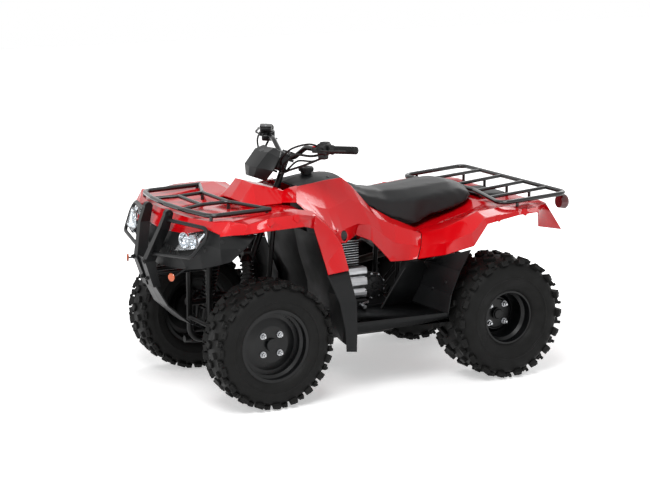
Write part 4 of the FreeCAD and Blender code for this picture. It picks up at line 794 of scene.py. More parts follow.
@dataclass
class Seat:
    """The padded seat: foam that swells under a stretched vinyl cover.

    Attributes:
        node: The node it stands for.
        voxel_mm: Size of the remesh cells.
        shrink_mm: How far the foam starts inside the node's solid.
        cap_mm: How far a point may move outwards from where it started.
        frames: Steps of the simulation.
        cover: The cover's settings in the solver: pressure inside it, and how it resists.
    """

    node: str = "seat"
    voxel_mm: float = 9.0
    shrink_mm: float = 3.0
    cap_mm: float = 7.0
    frames: int = 20
    cover: dict[str, float] = field(default_factory=lambda: {
        "use_pressure": True, "uniform_pressure_force": 4.0, "quality": 6, "tension_stiffness": 30.0,
        "bending_stiffness": 8.0})

    def build(self) -> None:
        """Make the cushion."""
        name = "seat_cushion"
        cushion = seat_mesh(name, mesh_of(name, node_shape(self.node)), SEAT_VINYL,
                            Place("chassis", "seat_vinyl", (self.node,)), 80.0)
        self.apply(cushion, "remesh", "REMESH", {"mode": "VOXEL", "voxel_size": self.voxel_mm * MM})
        self.draw_in(cushion)
        start = [vert.co.copy() for vert in cushion.data.vertices]
        self.inflate(cushion)
        self.limit(cushion, start)
        self.apply(cushion, "smooth", "SMOOTH", {"factor": 0.5, "iterations": 6})
        self.apply(cushion, "fine", "SUBSURF", {"levels": 1, "render_levels": 1})
        cushion.data.materials.clear()
        cushion.data.materials.append(SEAT_VINYL.material())
        cushion.data.polygons.foreach_set("use_smooth", [True] * len(cushion.data.polygons))

    def draw_in(self, cushion: bpy.types.Object) -> None:
        """Move every point inwards along its normal, so that the swollen cushion fits its solid.

        Args:
            cushion: The remeshed cushion.
        """
        normals = [vert.normal.copy() for vert in cushion.data.vertices]
        for vert, normal in zip(cushion.data.vertices, normals):
            vert.co -= normal * self.shrink_mm * MM
        cushion.data.update()

    def inflate(self, cushion: bpy.types.Object) -> None:
        """Swell the cover with the cloth solver and apply its result.

        Args:
            cushion: The remeshed cushion.
        """
        cloth = cushion.modifiers.new("foam", "CLOTH")
        for key, value in self.cover.items():
            setattr(cloth.settings, key, value)
        cloth.settings.effector_weights.gravity = 0.0
        cloth.collision_settings.use_collision = False
        cloth.point_cache.frame_end = self.frames
        scene = bpy.context.scene
        for number in range(1, self.frames + 1):
            scene.frame_set(number)
        self.bake_down(cushion)
        scene.frame_set(1)

    def limit(self, cushion: bpy.types.Object, start: Sequence[Vector]) -> None:
        """Hold every point within the cap of where it started.

        Args:
            cushion: The cushion after the solver.
            start: Where its points stood before.
        """
        cap = self.cap_mm * MM
        for vert, home in zip(cushion.data.vertices, start):
            shift = vert.co - home
            if shift.length > cap:
                vert.co = home + shift.normalized() * cap
        cushion.data.update()

    def apply(self, cushion: bpy.types.Object, name: str, kind: str, settings: dict) -> None:
        """Add a modifier and apply it at once.

        Args:
            cushion: The piece that takes it.
            name: The modifier's name.
            kind: The modifier's type.
            settings: Its values.
        """
        modifier = cushion.modifiers.new(name, kind)
        for key, value in settings.items():
            setattr(modifier, key, value)
        self.bake_down(cushion)

    def bake_down(self, cushion: bpy.types.Object) -> None:
        """Replace the mesh by what its modifiers make of it, and drop them.

        Args:
            cushion: The piece.
        """
        depsgraph = bpy.context.evaluated_depsgraph_get()
        mesh = bpy.data.meshes.new_from_object(cushion.evaluated_get(depsgraph))
        cushion.modifiers.clear()
        cushion.data = mesh


@dataclass
class Running:
    """Chassis, suspension, axles and steering: the nodes' own shapes with fitting finishes.

    Attributes:
        dressed: Each finish with the nodes that take it.
    """

    dressed: Sequence[tuple[Finish, tuple[str, ...]]] = (
        (CHASSIS_PAINT, ("main_frame", "swingarm", "a_arms", "tow_hitch", "foot_pedals", "knuckle_left",
                         "knuckle_right", "skid_plate", "steering_shaft", "front_shocks", "rear_shock")),
        (ZINC_STEEL, ("tie_rod_left", "tie_rod_right", "rear_axle")),
        (POWDER_COAT, ("front_rack", "rear_rack", "handlebar")),
        (SATIN_BLACK, ("front_guard",)),
        (PIPE_STEEL, ("exhaust",)))

    def build(self) -> None:
        """Dress the running gear."""
        for finish, nodes in self.dressed:
            for node in nodes:
                dress_node(node, finish)


def add_swept(bm: bmesh.types.BMesh, path: Sequence[Vector], radius_mm: float, sides: int = 10,
              flat: float = 1.0) -> None:
    """Sweep a round or oval section along a path, with closed ends.

    Args:
        bm: The mesh that receives it.
        path: Points in metres, close together.
        radius_mm: Radius of the section.
        sides: Corners of the section.
        flat: Height of the section in shares of its width.
    """
    ahead = [(path[min(i + 1, len(path) - 1)] - path[max(i - 1, 0)]).normalized() for i in range(len(path))]
    turn = ahead[0].to_track_quat("Z", "Y")
    ring = bmesh.ops.create_circle(bm, cap_ends=True, segments=sides, radius=radius_mm * MM)["verts"]
    bmesh.ops.scale(bm, vec=(1.0, flat, 1.0), verts=ring)
    bmesh.ops.transform(bm, matrix=Matrix.Translation(path[0]) @ turn.to_matrix().to_4x4(), verts=ring)
    face = ring[0].link_faces[0]
    edges = list(face.edges)
    for before, after, old, new in zip(path, path[1:], ahead, ahead[1:]):
        made = bmesh.ops.extrude_edge_only(bm, edges=edges)["geom"]
        verts = [item for item in made if isinstance(item, bmesh.types.BMVert)]
        edges = [item for item in made if isinstance(item, bmesh.types.BMEdge)
                 and all(vert in verts for vert in item.verts)]
        step = old.rotation_difference(new).to_matrix().to_4x4()
        move = Matrix.Translation(after) @ step @ Matrix.Translation(-before)
        bmesh.ops.transform(bm, matrix=move, verts=verts)
    bmesh.ops.contextual_create(bm, geom=edges)


def smooth_path(points: Sequence[Point], steps: int = 8) -> list[Vector]:
    """Run a smooth line through points.

    Args:
        points: Points in millimetres.
        steps: Steps between two of them.

    Returns:
        Points in metres.
    """
    knots = [metres(point) for point in points]
    knots = [knots[0] * 2 - knots[1]] + knots + [knots[-1] * 2 - knots[-2]]
    path = []
    for a, b, c, d in zip(knots, knots[1:], knots[2:], knots[3:]):
        for number in range(steps):
            t = number / steps
            path.append(0.5 * (2 * b + (c - a) * t + (2 * a - 5 * b + 4 * c - d) * t ** 2
                               + (3 * b - a - 3 * c + d) * t ** 3))
    return path + [knots[-2]]


@dataclass(frozen=True)
class Spot:
    """A place on the outside of a node.

    Attributes:
        node: The node.
        start: Where a look at it starts from, in millimetres.
        aim: The direction of that look.
    """

    node: str
    start: Point
    aim: Point

    def frame(self, side: float = 1.0) -> Matrix:
        """Give the matrix that stands on the node's surface with +Z out of it.

        Args:
            side: 1 for the left and -1 for the mirrored spot on the right.

        Returns:
            A rigid transform.
        """
        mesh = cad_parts[self.node].data
        tree = BVHTree.FromPolygons([vert.co.copy() for vert in mesh.vertices],
                                    [tuple(face.vertices) for face in mesh.polygons])
        start = metres(mirrored_point(self.start, side))
        aim = Vector(mirrored_point(self.aim, side)).normalized()
        hit, normal = tree.ray_cast(start, aim)[:2]
        if hit is None:
            raise ValueError(f"nothing of {self.node} from {self.start}")
        if normal.dot(aim) > 0:
            normal = -normal
        return frame_between(hit, normal)


def add_patch(bm: bmesh.types.BMesh, rows: Sequence[Sequence[Point]], side: float, wall_mm: float) -> None:
    """Add a moulded wall through rows of points, with softened rims.

    Args:
        bm: The mesh that receives it.
        rows: Rows of points on the left in millimetres, all of one length.
        side: 1 for the left and -1 for the mirrored wall on the right.
        wall_mm: Thickness of the wall.
    """
    others = set(bm.faces)
    made = bmesh.ops.create_grid(bm, x_segments=len(rows[0]) - 1, y_segments=len(rows) - 1, size=1.0)["verts"]
    for vert, point in zip(made, (point for row in rows for point in row)):
        vert.co = metres(mirrored_point(point, side))
    faces = [face for face in bm.faces if face not in others]
    bmesh.ops.triangulate(bm, faces=faces)
    faces = [face for face in bm.faces if face not in others]
    bmesh.ops.recalc_face_normals(bm, faces=faces)
    bmesh.ops.solidify(bm, geom=faces, thickness=wall_mm * MM)
    faces = [face for face in bm.faces if face not in others]
    rims = {edge for face in faces for edge in face.edges if edge.calc_face_angle(0.0) > RIM_TURN}
    round_off(bm, list(rims), wall_mm * RIM_SHARE, 2)


@dataclass
class Guards:
    """Thin moulded walls, the fuel tank behind them and the rounded heads of the front guard's plates.

    Attributes:
        cowl: Corner piece between the hood and the left side panel.
        splash: Wall between the flaps behind the front wheels, from the left to the middle.
        splash_head: Its upper part beside the rails, up under the deck.
        footwell: Inner wall of the left footwell, from its foot to its head; its front strip, out to the
            strut, is painted shade: a dark sheet over the shadowed engine bay.
        nose_tray: Closing piece under the seat's nose, from the middle to the left side panel.
        nose_strip: The tray's narrow end between the seat and the left side panel.
        strut: Brace of the left footwell.
        strut_radius: Radius of that brace.
        tank_size: Length, width and height of the fuel tank.
        tank_middle: Its middle, under the tank cover.
        tank_edge: Radius of its edges.
        wall: Thickness of the walls.
        shield_out: How far the right footwell's wall stands further out, clear of the silencer.
        plate_head: Middle of the rounded head of the left guard plate.
        plate_radius: Radius of that head.
        plate_half: Half its thickness.
        plate_edge: Chamfer of its rim.
        plate_bolt: Width and height of the bolt through it.
    """

    cowl: Rows = (((371, 176, 819.5), (333, 240, 827)), ((331, 116, 860), (300, 178, 850)),
                  ((300, 112, 868), (262, 110, 873)))
    splash: Rows = (((196, 318, 640), (214, 200, 668), (220, 0, 668)),
                    ((174, 345, 560), (192, 200, 560), (198, 0, 560)),
                    ((162, 345, 424), (154, 200, 424), (154, 0, 424)),
                    ((158, 330, 352), (150, 200, 340), (150, 0, 340)))
    splash_head: Rows = (((238, 304, 734), (250, 240, 774), (250, 200, 802), (254, 124, 844)),
                         ((196, 318, 638), (205, 260, 652), (214, 200, 664), (218, 124, 664)))
    # The footwell rows run forward to the strut: the rear part is the real inner wall, the front strip is a
    # dark sheet of painted shade where the engine bay lies in shadow.
    footwell: Rows = (((-294, 156, 318), (-200, 178, 318), (-112, 198, 318)),
                      ((-306, 208, 400), (-220, 204, 400), (-158, 202, 400)),
                      ((-330, 214, 480), (-260, 214, 480), (-196, 214, 480)),
                      ((-292, 246, 512), (-250, 240, 514), (-214, 232, 516)))
    nose_tray: Rows = (((22, 0, 852), (22, 60, 851), (21, 95, 848), (21, 114, 846)),
                       ((14, 0, 802), (14, 60, 802), (14, 100, 800), (14, 148, 798)),
                       ((-20, 0, 784), (-20, 60, 784), (-20, 100, 783), (-20, 158, 782)),
                       ((-58, 0, 760), (-58, 60, 760), (-58, 88, 760), (-58, 150, 760)))
    nose_strip: Rows = (((-61, 112, 759), (-61, 149, 759)), ((-104, 115, 730), (-104, 142, 730)))
    strut: Sequence[Point] = ((-104, 206, 312), (-160, 210, 396), (-222, 216, 486))
    strut_radius: float = 5.0
    tank_size: Point = (165, 160, 208)
    tank_middle: Point = (122, 0, 757)
    tank_edge: float = 22.0
    wall: float = 3.2
    shield_out: float = 44.0
    plate_head: Point = (864.5, 104.8, 802.0)
    plate_radius: float = 18.4
    plate_half: float = 12.8
    plate_edge: float = 1.4
    plate_bolt: tuple[float, float] = (17.0, 7.0)

    def build(self) -> None:
        """Make all of them."""
        cowl, black = bmesh.new(), bmesh.new()
        for side in SIDES.values():
            add_patch(cowl, self.cowl, side, self.wall)
            out = 0.0 if side > 0 else self.shield_out
            # The footwell wall's front strip is painted shade, a dark sheet standing in for the shadowed
            # engine bay.
            footwell = [[(x, y + out, z) for x, y, z in row] for row in self.footwell]
            for rows in (footwell, self.splash, self.splash_head, self.nose_strip):
                add_patch(black, rows, side, self.wall)
        tray = [[mirrored_point(point, -1.0) for point in reversed(row[1:])] + list(row)
                for row in self.nose_tray]
        add_patch(black, tray, 1.0, self.wall)
        settle("cowl_corners", cowl, RED_SHELL, Place("chassis", "red_plastic"), 30.0)
        # This piece holds the real inner walls together with the footwell's front strip of painted shade.
        settle("inner_guards_and_shade_sheet", black, GRAINED_BLACK, BODY_BLACK, 30.0)
        strut = bmesh.new()
        add_swept(strut, smooth_path(self.strut), self.strut_radius, 12)
        settle("footwell_strut", strut, CHASSIS_PAINT, Place("chassis", "frame_paint"), 40.0)
        tank = bmesh.new()
        add_block(tank, self.tank_size, Matrix.Translation(metres(self.tank_middle)), self.tank_edge, 4)
        settle("fuel_tank", tank, GRAINED_BLACK, BODY_BLACK, 40.0)
        self.plate_heads()

    def plate_heads(self) -> None:
        """Make the rounded heads of the guard's plates, with a bolt through each."""
        heads, bolts = bmesh.new(), bmesh.new()
        r, half, edge = self.plate_radius, self.plate_half, self.plate_edge
        for side in SIDES.values():
            across = frame_between(metres(mirrored_point(self.plate_head, side)), Vector((0, side, 0)))
            add_turned(heads, [(0, -half), (r - edge, -half), (r, edge - half), (r, half - edge),
                               (r - edge, half), (0, half)], across, 40)
            add_hex_nut(bolts, shifted(across, (0, 0, half)), *self.plate_bolt)
        settle("guard_plate_heads", heads, SATIN_BLACK, BODY_BLACK, 30.0)
        settle("guard_head_bolts", bolts, CHASSIS_PAINT, BODY_BLACK, 25.0)


@dataclass
class Fasteners:
    """Rivets and bolt heads on the mouldings, the guard and the engine, and the fascia's ribs.

    Attributes:
        rivets: Where push rivets sit on both sides.
        rivet: Outline of a push rivet.
        bolts: Where hexagon bolts sit on both sides of the guard.
        bolt: Width and height of such a bolt.
        engine: Where the crankcase's screws sit on both sides.
        screw: Width and height of such a screw.
        ribs: Places of the fascia's ribs across the vehicle.
        rib_size: Lengths of a rib.
    """

    rivets: Sequence[Spot] = (
        Spot("front_fascia", (770, 560, 731), (0, -1, 0)),
        Spot("front_fascia", (900, 450, 640), (-0.6, -0.7, 0.3)),
        Spot("front_fascia", (700, 560, 690), (0, -1, 0)), Spot("mudguards", (420, 380, 300), (-1, 0, 0)),
        Spot("mudguards", (420, 400, 240), (-1, 0, 0)), Spot("mudguards", (420, 410, 480), (-1, 0, 0)),
        Spot("footboards", (0, 420, 440), (-1, -0.1, 0)), Spot("footboards", (0, 340, 400), (-1, -0.1, 0)),
        Spot("tail_cover", (-700, 60, 900), (0, 0, -1)), Spot("tank_cover", (90, 70, 1000), (0, 0, -1)))
    rivet: Outline = ((0, -1), (8.5, -1), (8.5, 0.8), (7.4, 2.2), (3.0, 2.9), (2.6, 2.2), (0, 2.2))
    bolts: Sequence[Spot] = (Spot("front_guard", (1100, 60, 600), (-1, 0, 0)),
                             Spot("front_guard", (1100, 24, 520), (-1, 0, 0)))
    bolt: tuple[float, float] = (17.0, 8.0)
    engine: Sequence[Spot] = tuple(
        Spot("crankcase", (x, 300, z), (0, -1, 0))
        for x, z in ((-168, 392), (-120, 396), (-172, 340), (-168, 280), (-168, 226), (-110, 222), (-50, 222),
                     (10, 222), (66, 222), (78, 280), (78, 340)))
    screw: tuple[float, float] = (11.0, 6.0)
    ribs: Sequence[Spot] = tuple(Spot("front_fascia", (1100, y, 652), (-1, 0, 0))
                                 for y in (124, 140, 156, 172, 188))
    rib_size: Point = (6.0, 58.0, 6.0)

    def build(self) -> None:
        """Make the rivets, bolts and ribs."""
        rivets, bolts, heads, ribs = bmesh.new(), bmesh.new(), bmesh.new(), bmesh.new()
        for side in SIDES.values():
            for spot in self.rivets:
                add_turned(rivets, self.rivet, spot.frame(side), 20)
            for spot in self.bolts:
                add_hex_nut(bolts, spot.frame(side), *self.bolt)
            for spot in self.engine:
                add_hex_nut(heads, spot.frame(side), *self.screw)
            for spot in self.ribs:
                add_block(ribs, self.rib_size, spot.frame(side), 1.6, 2)
        settle("fascia_ribs", ribs, GRAINED_BLACK, BODY_BLACK, 30.0)
        settle("push_rivets", rivets, SATIN_BLACK, BODY_BLACK, 30.0)
        settle("guard_bolts", bolts, CHASSIS_PAINT, BODY_BLACK, 25.0)
        settle("case_bolts", heads, ZINC_STEEL, BODY_ZINC, 25.0)


@dataclass(frozen=True)
class Cable:
    """A control cable or hose between a control and the steering column.

    Attributes:
        name: The piece's name.
        points: Where it runs, in millimetres.
        radius: Its radius.
    """

    name: str
    points: Sequence[Point]
    radius: float

    def build(self) -> None:
        path = smooth_path(self.points)
        bm = bmesh.new()
        add_swept(bm, path, self.radius, 10)
        piece = settle(self.name, bm, GRIP_RUBBER, Place("steering", "grip_rubber"), 50.0)


@dataclass
class Controls:
    """Grips, switch boxes, levers, cables and the fuel cap.

    Attributes:
        bar_end: Outer end of the handlebar on the left.
        bar_knee: Its bend before the grip.
        grip_length: Length of a grip.
        grip_radius: Radius of its core.
        rib_height: How far a rib stands out.
        ribs: Number of its ribs.
        box_inboard: Distance of the boxes' middle from the grip's inner end.
        boxes_left: Place, lengths and edge radius of each block of the left switch box.
        boxes_right: The same for the throttle box and the reservoir with its lid.
        buttons: Place and lengths of each red button on the left.
        reservoir_screws: Where the lid's screws sit.
        lever: Run of a hand lever from its pivot, on the left.
        thumb: Run of the thumb lever.
        cables: The control cables and the brake hose.
        pod_at: Middle of the instrument pod behind the shield.
        pod_size: Its lengths.
        pod_tilt: How far its face leans back, in degrees.
        dial: Outline of its dial.
        cap_shares: Outline of the fuel cap in shares of its radius and height.
        cap_ribs: Number of the cap's ribs.
    """

    bar_end: Point = (132.5, 392.0, 1052.0)
    bar_knee: Point = (220.5, 236.0, 1042.0)
    grip_length: float = 118.0
    grip_radius: float = 15.2
    rib_height: float = 1.7
    ribs: int = 14
    box_inboard: float = 34.0
    boxes_left: Sequence[tuple[Point, Point, float]] = (
        ((4, 0, 3), (54, 46, 50), 9), ((8, -4, -26), (34, 38, 30), 8), ((2, 2, 28), (36, 34, 12), 5),
        ((18, -34, 0), (26, 30, 26), 6))
    boxes_right: Sequence[tuple[Point, Point, float]] = (
        ((2, 0, -4), (58, 50, 46), 10), ((14, 4, 26), (50, 62, 24), 6), ((14, 4, 39), (53, 66, 6), 2.4),
        ((10, 34, -8), (40, 26, 30), 8))
    buttons: Sequence[tuple[Point, Point]] = (((-21, -8, 14), (10, 16, 10)), ((20, -38, 14), (16, 14, 7)))
    reservoir_screws: Sequence[Point] = ((14, -20, 42), (14, 28, 42))
    lever: Sequence[Point] = ((28, -8, 2), (46, 6, 2), (56, 30, 0), (58, 70, 0), (52, 110, 0), (50, 128, 0),
                              (52, 136, 0))
    thumb: Sequence[Point] = ((-6, -8, -24), (-22, -24, -30), (-34, -42, -26))
    cables: Sequence[Cable] = (
        Cable("cable_starter", ((196, 268, 1022), (222, 236, 1000), (268, 190, 972), (305, 130, 946),
                                (308, 70, 925), (294, 22, 916)), 5.0),
        Cable("cable_clutch", ((214, 262, 1048), (262, 226, 1066), (312, 160, 1042), (330, 104, 996),
                               (318, 74, 962)), 4.2),
        Cable("cable_lamp", ((196, 256, 1026), (240, 200, 1010), (290, 150, 1012), (322, 112, 974),
                             (316, 84, 938), (292, 30, 930)), 5.4),
        Cable("cable_choke", ((190, 248, 1012), (226, 190, 986), (272, 142, 984), (300, 116, 954),
                              (296, 78, 936), (290, 30, 944)), 4.2),
        Cable("cable_throttle", ((214, -262, 1048), (268, -222, 1060), (316, -156, 1036), (330, -104, 990),
                                 (320, -74, 960)), 4.2),
        Cable("hose_brake", ((196, -268, 1030), (236, -230, 1000), (286, -170, 976), (314, -110, 950),
                             (310, -60, 928), (292, -20, 916)), 5.0))
    pod_at: Point = (304.0, 0.0, 972.0)
    pod_size: Point = (50.0, 128.0, 84.0)
    pod_tilt: float = -22.0
    dial: Outline = ((0, 0.6), (20, 0.6), (21, 2.6), (24, 2.6), (24.6, 0), (24.6, -3), (0, -3))
    cap_shares: Outline = ((0, 0), (0.72, 0), (0.72, 0.34), (0.95, 0.38), (0.97, 0.8), (0.86, 0.93),
                           (0.3, 0.9), (0.24, 1), (0, 1))
    cap_ribs: int = 10

    def on_bar(self, side: float, inboard: float) -> Matrix:
        """Give the frame of a place on the bar: X forward, Y outboard along the bar, Z up.

        Args:
            side: 1 for the left and -1 for the right.
            inboard: Distance from the bar's end in millimetres.

        Returns:
            The transform, in metres.
        """
        end, knee = Vector(mirrored_point(self.bar_end, side)), Vector(mirrored_point(self.bar_knee, side))
        along = (end - knee).normalized()
        ahead = (Vector((1, 0, 0)) - along * along.x).normalized()
        up = ahead.cross(along) * side
        turn = Matrix((ahead, along * side, up)).transposed().to_4x4()
        return Matrix.Translation((end - along * inboard) * MM) @ turn

    def build(self) -> None:
        """Make the controls."""
        self.grips()
        self.boxes()
        self.levers()
        self.fuel_cap()
        self.pod()
        for cable in self.cables:
            cable.build()

    def pod(self) -> None:
        """Make the instrument pod between the shield and the bar, with its dial."""
        bm, dial = bmesh.new(), bmesh.new()
        spot = Matrix.Translation(metres(self.pod_at)) @ rotation("Y", self.pod_tilt)
        add_block(bm, self.pod_size, spot, 14.0, 4)
        face = shifted(spot, (-self.pod_size[0] / 2, 0, 14)) @ rotation("Y", -90)
        add_turned(dial, self.dial, face, 40)
        settle("instrument_pod", bm, SATIN_BLACK, BAR_BLACK, 30.0)
        settle("instrument_dial", dial, POWDER_COAT, BAR_BLACK, 30.0)

    def grips(self) -> None:
        """Make the ribbed grips."""
        bm = bmesh.new()
        r, length = self.grip_radius, self.grip_length
        outline = [(0, 8), (r * 0.7, 8), (r, 5)]
        pitch = (length - 14) / self.ribs
        for number in range(self.ribs):
            z = 2 - number * pitch
            top = r + self.rib_height
            outline += [(top, z), (top, z - pitch * 0.5), (r, z - pitch * 0.65), (r, z - pitch * 0.9)]
        outline += [(r * 1.38, 6 - length), (r * 1.38, 1 - length), (r * 0.8, 1 - length), (0, 1 - length)]
        for side in SIDES.values():
            add_turned(bm, outline, self.on_bar(side, 0) @ rotation("X", -90 * side), 32)
        settle("grip_sleeves", bm, GRIP_RUBBER, Place("steering", "grip_rubber", ("grips",)), 40.0)

    def boxes(self) -> None:
        """Make the switch box, the throttle box and the reservoir, with their buttons."""
        body, buttons, metal = bmesh.new(), bmesh.new(), bmesh.new()
        left, right = (self.on_bar(side, self.grip_length + self.box_inboard) for side in (1, -1))
        for matrix, blocks in ((left, self.boxes_left), (right, self.boxes_right)):
            for shift, size, edge in blocks:
                add_block(body, size, shifted(matrix, shift), edge, 3)
        for shift, size in self.buttons:
            add_block(buttons, size, shifted(left, shift), 2.2, 2)
        for shift in self.reservoir_screws:
            add_hex_nut(metal, shifted(right, shift), 7.0, 2.0)
        settle("switch_boxes", body, SATIN_BLACK, Place("steering", "black_plastic", ("hand_controls",)),
               30.0)
        settle("switch_buttons", buttons, SWITCH_RED, BAR_BLACK, 30.0)
        settle("reservoir_screws", metal, ZINC_STEEL, Place("steering", "zinc_steel"), 25.0)

    def levers(self) -> None:
        """Make both hand levers and the thumb lever."""
        bm = bmesh.new()
        for side in SIDES.values():
            matrix = self.on_bar(side, self.grip_length + self.box_inboard)
            shape = [mirrored_point(point, side) for point in self.lever]
            add_swept(bm, [matrix @ point for point in smooth_path(shape, 5)], 5.6, 10, 0.62)
            add_turned(bm, [(0, 0), (9, 0), (9, 18), (0, 18)], shifted(matrix, (34, 0, -8)), 20)
        right = self.on_bar(-1, self.grip_length + self.box_inboard)
        add_swept(bm, [right @ point for point in smooth_path(self.thumb, 4)], 6.0, 10, 0.6)
        settle("hand_levers", bm, CHASSIS_PAINT, BAR_BLACK, 40.0)

    def fuel_cap(self) -> None:
        """Make the cap with its grip ribs."""
        low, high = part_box("fuel_cap")
        centre = Matrix.Translation(((low.x + high.x) / 2, (low.y + high.y) / 2, low.z))
        height, radius = (high.z - low.z) / MM, (high.x - low.x) / 2 / MM
        bm = bmesh.new()
        add_turned(bm, [(radius * r, height * h) for r, h in self.cap_shares], centre, 40)
        for number in range(self.cap_ribs):
            turn = Matrix.Rotation(math.tau * number / self.cap_ribs, 4, "Z")
            add_block(bm, (radius * 0.18, radius * 0.3, height * 0.42),
                      shifted(centre @ turn, (radius * 0.9, 0, height * 0.6)), 1.6, 2)
        settle("fuel_cap_ribbed", bm, GRAINED_BLACK, Place("chassis", "black_plastic", ("fuel_cap",)), 30.0)


@dataclass
class Engine:
    """The open engine in the left side's window.

    Attributes:
        fin_lip: How far the machined lip stands out of a fin.
        fin_thick: Thickness of that lip.
        fin_most: Walls of the cylinder thicker than this are no fins.
        shift_arm: Run and radius of the shift lever's arm.
        shift_pedal: Run and radius of its rubber.
        cover_at: Middle of the round cover's seat.
        cover_radius: Its radius.
        cover_outline: Its outline, with radii in shares of that radius.
        cover_bolts: Number of its ribs, ears and bolts.
        ear: Outline of an ear.
    """

    fin_lip: float = 1.4
    fin_thick: float = 2.6
    fin_most: float = 12.0
    shift_arm: tuple[Sequence[Point], float] = (
        ((-70, 116, 332), (-70, 146, 332), (-46, 158, 330), (-24, 166, 326)), 5.5)
    shift_pedal: tuple[Sequence[Point], float] = (((-24, 160, 326), (-22, 184, 326), (-22, 208, 326)), 8.5)
    cover_at: Point = (-112.0, 112.0, 396.0)
    cover_radius: float = 56.0
    cover_outline: Outline = ((0, -22), (1, -22), (1, 6), (0.93, 12), (0.8, 13), (0.76, 20), (0.4, 24),
                              (0.36, 19), (0.2, 19), (0.18, 24), (0, 24))
    cover_bolts: int = 9
    ear: Outline = ((0, -20), (7.5, -20), (7.5, 10), (0, 10))

    def build(self) -> None:
        """Dress the engine and add the fins' bright lips, the shift lever and the round cover."""
        for node, finish in (("crankcase", PAINTED_CASTING), ("cylinder", PAINTED_CASTING),
                             ("generator_cover", BARE_CASTING)):
            dress_node(node, finish)
        self.fin_lips()
        lever = bmesh.new()
        for (points, radius), sides in ((self.shift_arm, 10), (self.shift_pedal, 12)):
            add_swept(lever, smooth_path(points), radius, sides)
        settle("shift_lever", lever, ZINC_STEEL, BODY_ZINC, 40.0)
        self.case_cover()

    def fin_lips(self) -> None:
        """Make one machined lip round the outer edge of each fin."""
        low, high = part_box("cylinder")
        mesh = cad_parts["cylinder"].data
        edge = [vert.co.z / MM for vert in mesh.vertices if vert.co.y > high.y - 0.5 * MM]
        levels = sorted({round(z, 1) for z in edge})
        bm = bmesh.new()
        size_x, size_y = (high.x - low.x) / MM, (high.y - low.y) / MM
        middle = (low + high) / 2
        for foot, head in zip(levels[::2], levels[1::2]):
            if head - foot > self.fin_most:
                continue
            place = Matrix.Translation(Vector((middle.x, middle.y, (foot + head) / 2 * MM)))
            add_block(bm, (size_x + self.fin_lip, size_y + self.fin_lip, self.fin_thick), place, 0.5, 1)
        settle("fin_lips", bm, FIN_EDGE, BODY_ALLOY, 30.0)

    def case_cover(self) -> None:
        """Make the round ribbed cover behind the generator, with its bolts."""
        bm, heads = bmesh.new(), bmesh.new()
        spot = frame_between(metres(self.cover_at), Vector((0, 1, 0)))
        r = self.cover_radius
        add_turned(bm, [(r * share, height) for share, height in self.cover_outline], spot, 48)
        for number in range(self.cover_bolts):
            turn = spot @ Matrix.Rotation(math.tau * number / self.cover_bolts, 4, "Z")
            add_block(bm, (r * 0.62, 4.0, 9.0), shifted(turn, (r * 0.6, 0, 19)), 1.4, 2)
            ear = shifted(turn @ Matrix.Rotation(math.pi / self.cover_bolts, 4, "Z"), (r * 0.98, 0, 0))
            add_turned(bm, self.ear, ear, 16)
            add_hex_nut(heads, shifted(ear, (0, 0, self.ear[-1][1])), 8.5, 4.5)
        settle("case_cover", bm, PAINTED_CASTING, Place("chassis", "engine_black"), 30.0)
        settle("case_cover_bolts", heads, ZINC_STEEL, BODY_ZINC, 25.0)


@dataclass
class Lamps:
    """Headlights, amber reflectors and the round tail light.

    Attributes:
        lens_wall: Wall of the lens.
        lens_edge: Radius of its edges.
        lens_turn: Edges that turn more than this are rounded, in degrees.
        bowl: Outline of a reflector bowl as (radius, depth).
        shield: Outline of the bulb's shield in it.
        places: Distance from the middle, place along the vehicle, scale and lift of each bowl of a side.
        aim: Where the left bowls look.
    """

    lens_wall: float = 2.6
    lens_edge: float = 3.0
    lens_turn: float = 30.0
    bowl: Outline = ((0, -34), (8, -33), (18, -28), (28, -18), (35, -6), (38, 4), (40, 4), (40, 1), (37, -9),
                     (29, -21), (18, -31), (8, -36), (0, -37))
    shield: Outline = ((0, -8), (9, -8), (11, -4), (9, 4), (0, 7))
    places: Sequence[tuple[float, float, float, float]] = ((252, 858, 0.82, 2), (304, 846, 0.66, 6))
    aim: Point = (1.0, 0.28, -0.05)

    def build(self) -> None:
        """Make the lamps."""
        dress_node("front_reflectors", AMBER_ACRYLIC)
        dress_node("tail_light", RED_ACRYLIC)
        self.lens()
        self.bowls()

    def lens(self) -> None:
        """Make the hollow clear lens in the place of each lamp's block."""
        bm = node_shape("headlights", flatten=True)
        turn = math.radians(self.lens_turn)
        round_off(bm, [edge for edge in bm.edges if edge.calc_face_angle(0.0) > turn], self.lens_edge, 3)
        bmesh.ops.recalc_face_normals(bm, faces=bm.faces)
        bmesh.ops.solidify(bm, geom=list(bm.faces), thickness=self.lens_wall * MM)
        settle("headlight_lenses", bm, LAMP_LENS, Place("chassis", "lamp_clear", ("headlights",)), 30.0)

    def bowls(self) -> None:
        """Make the plated bowls and the bulbs' shields."""
        low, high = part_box("headlights")
        plated = bmesh.new()
        mid_z = (low.z + high.z) / 2 / MM
        for side in SIDES.values():
            for y, x, scale, lift in self.places:
                aim = Vector(mirrored_point(self.aim, side))
                spot = frame_between(metres((x, y * side, mid_z + lift)), aim)
                for outline, steps in ((self.bowl, 40), (self.shield, 24)):
                    add_turned(plated, [(r * scale, h * scale) for r, h in outline], spot, steps)
        settle("reflector_bowls", plated, PLATED_BOWL, BODY_ALLOY, 35.0)


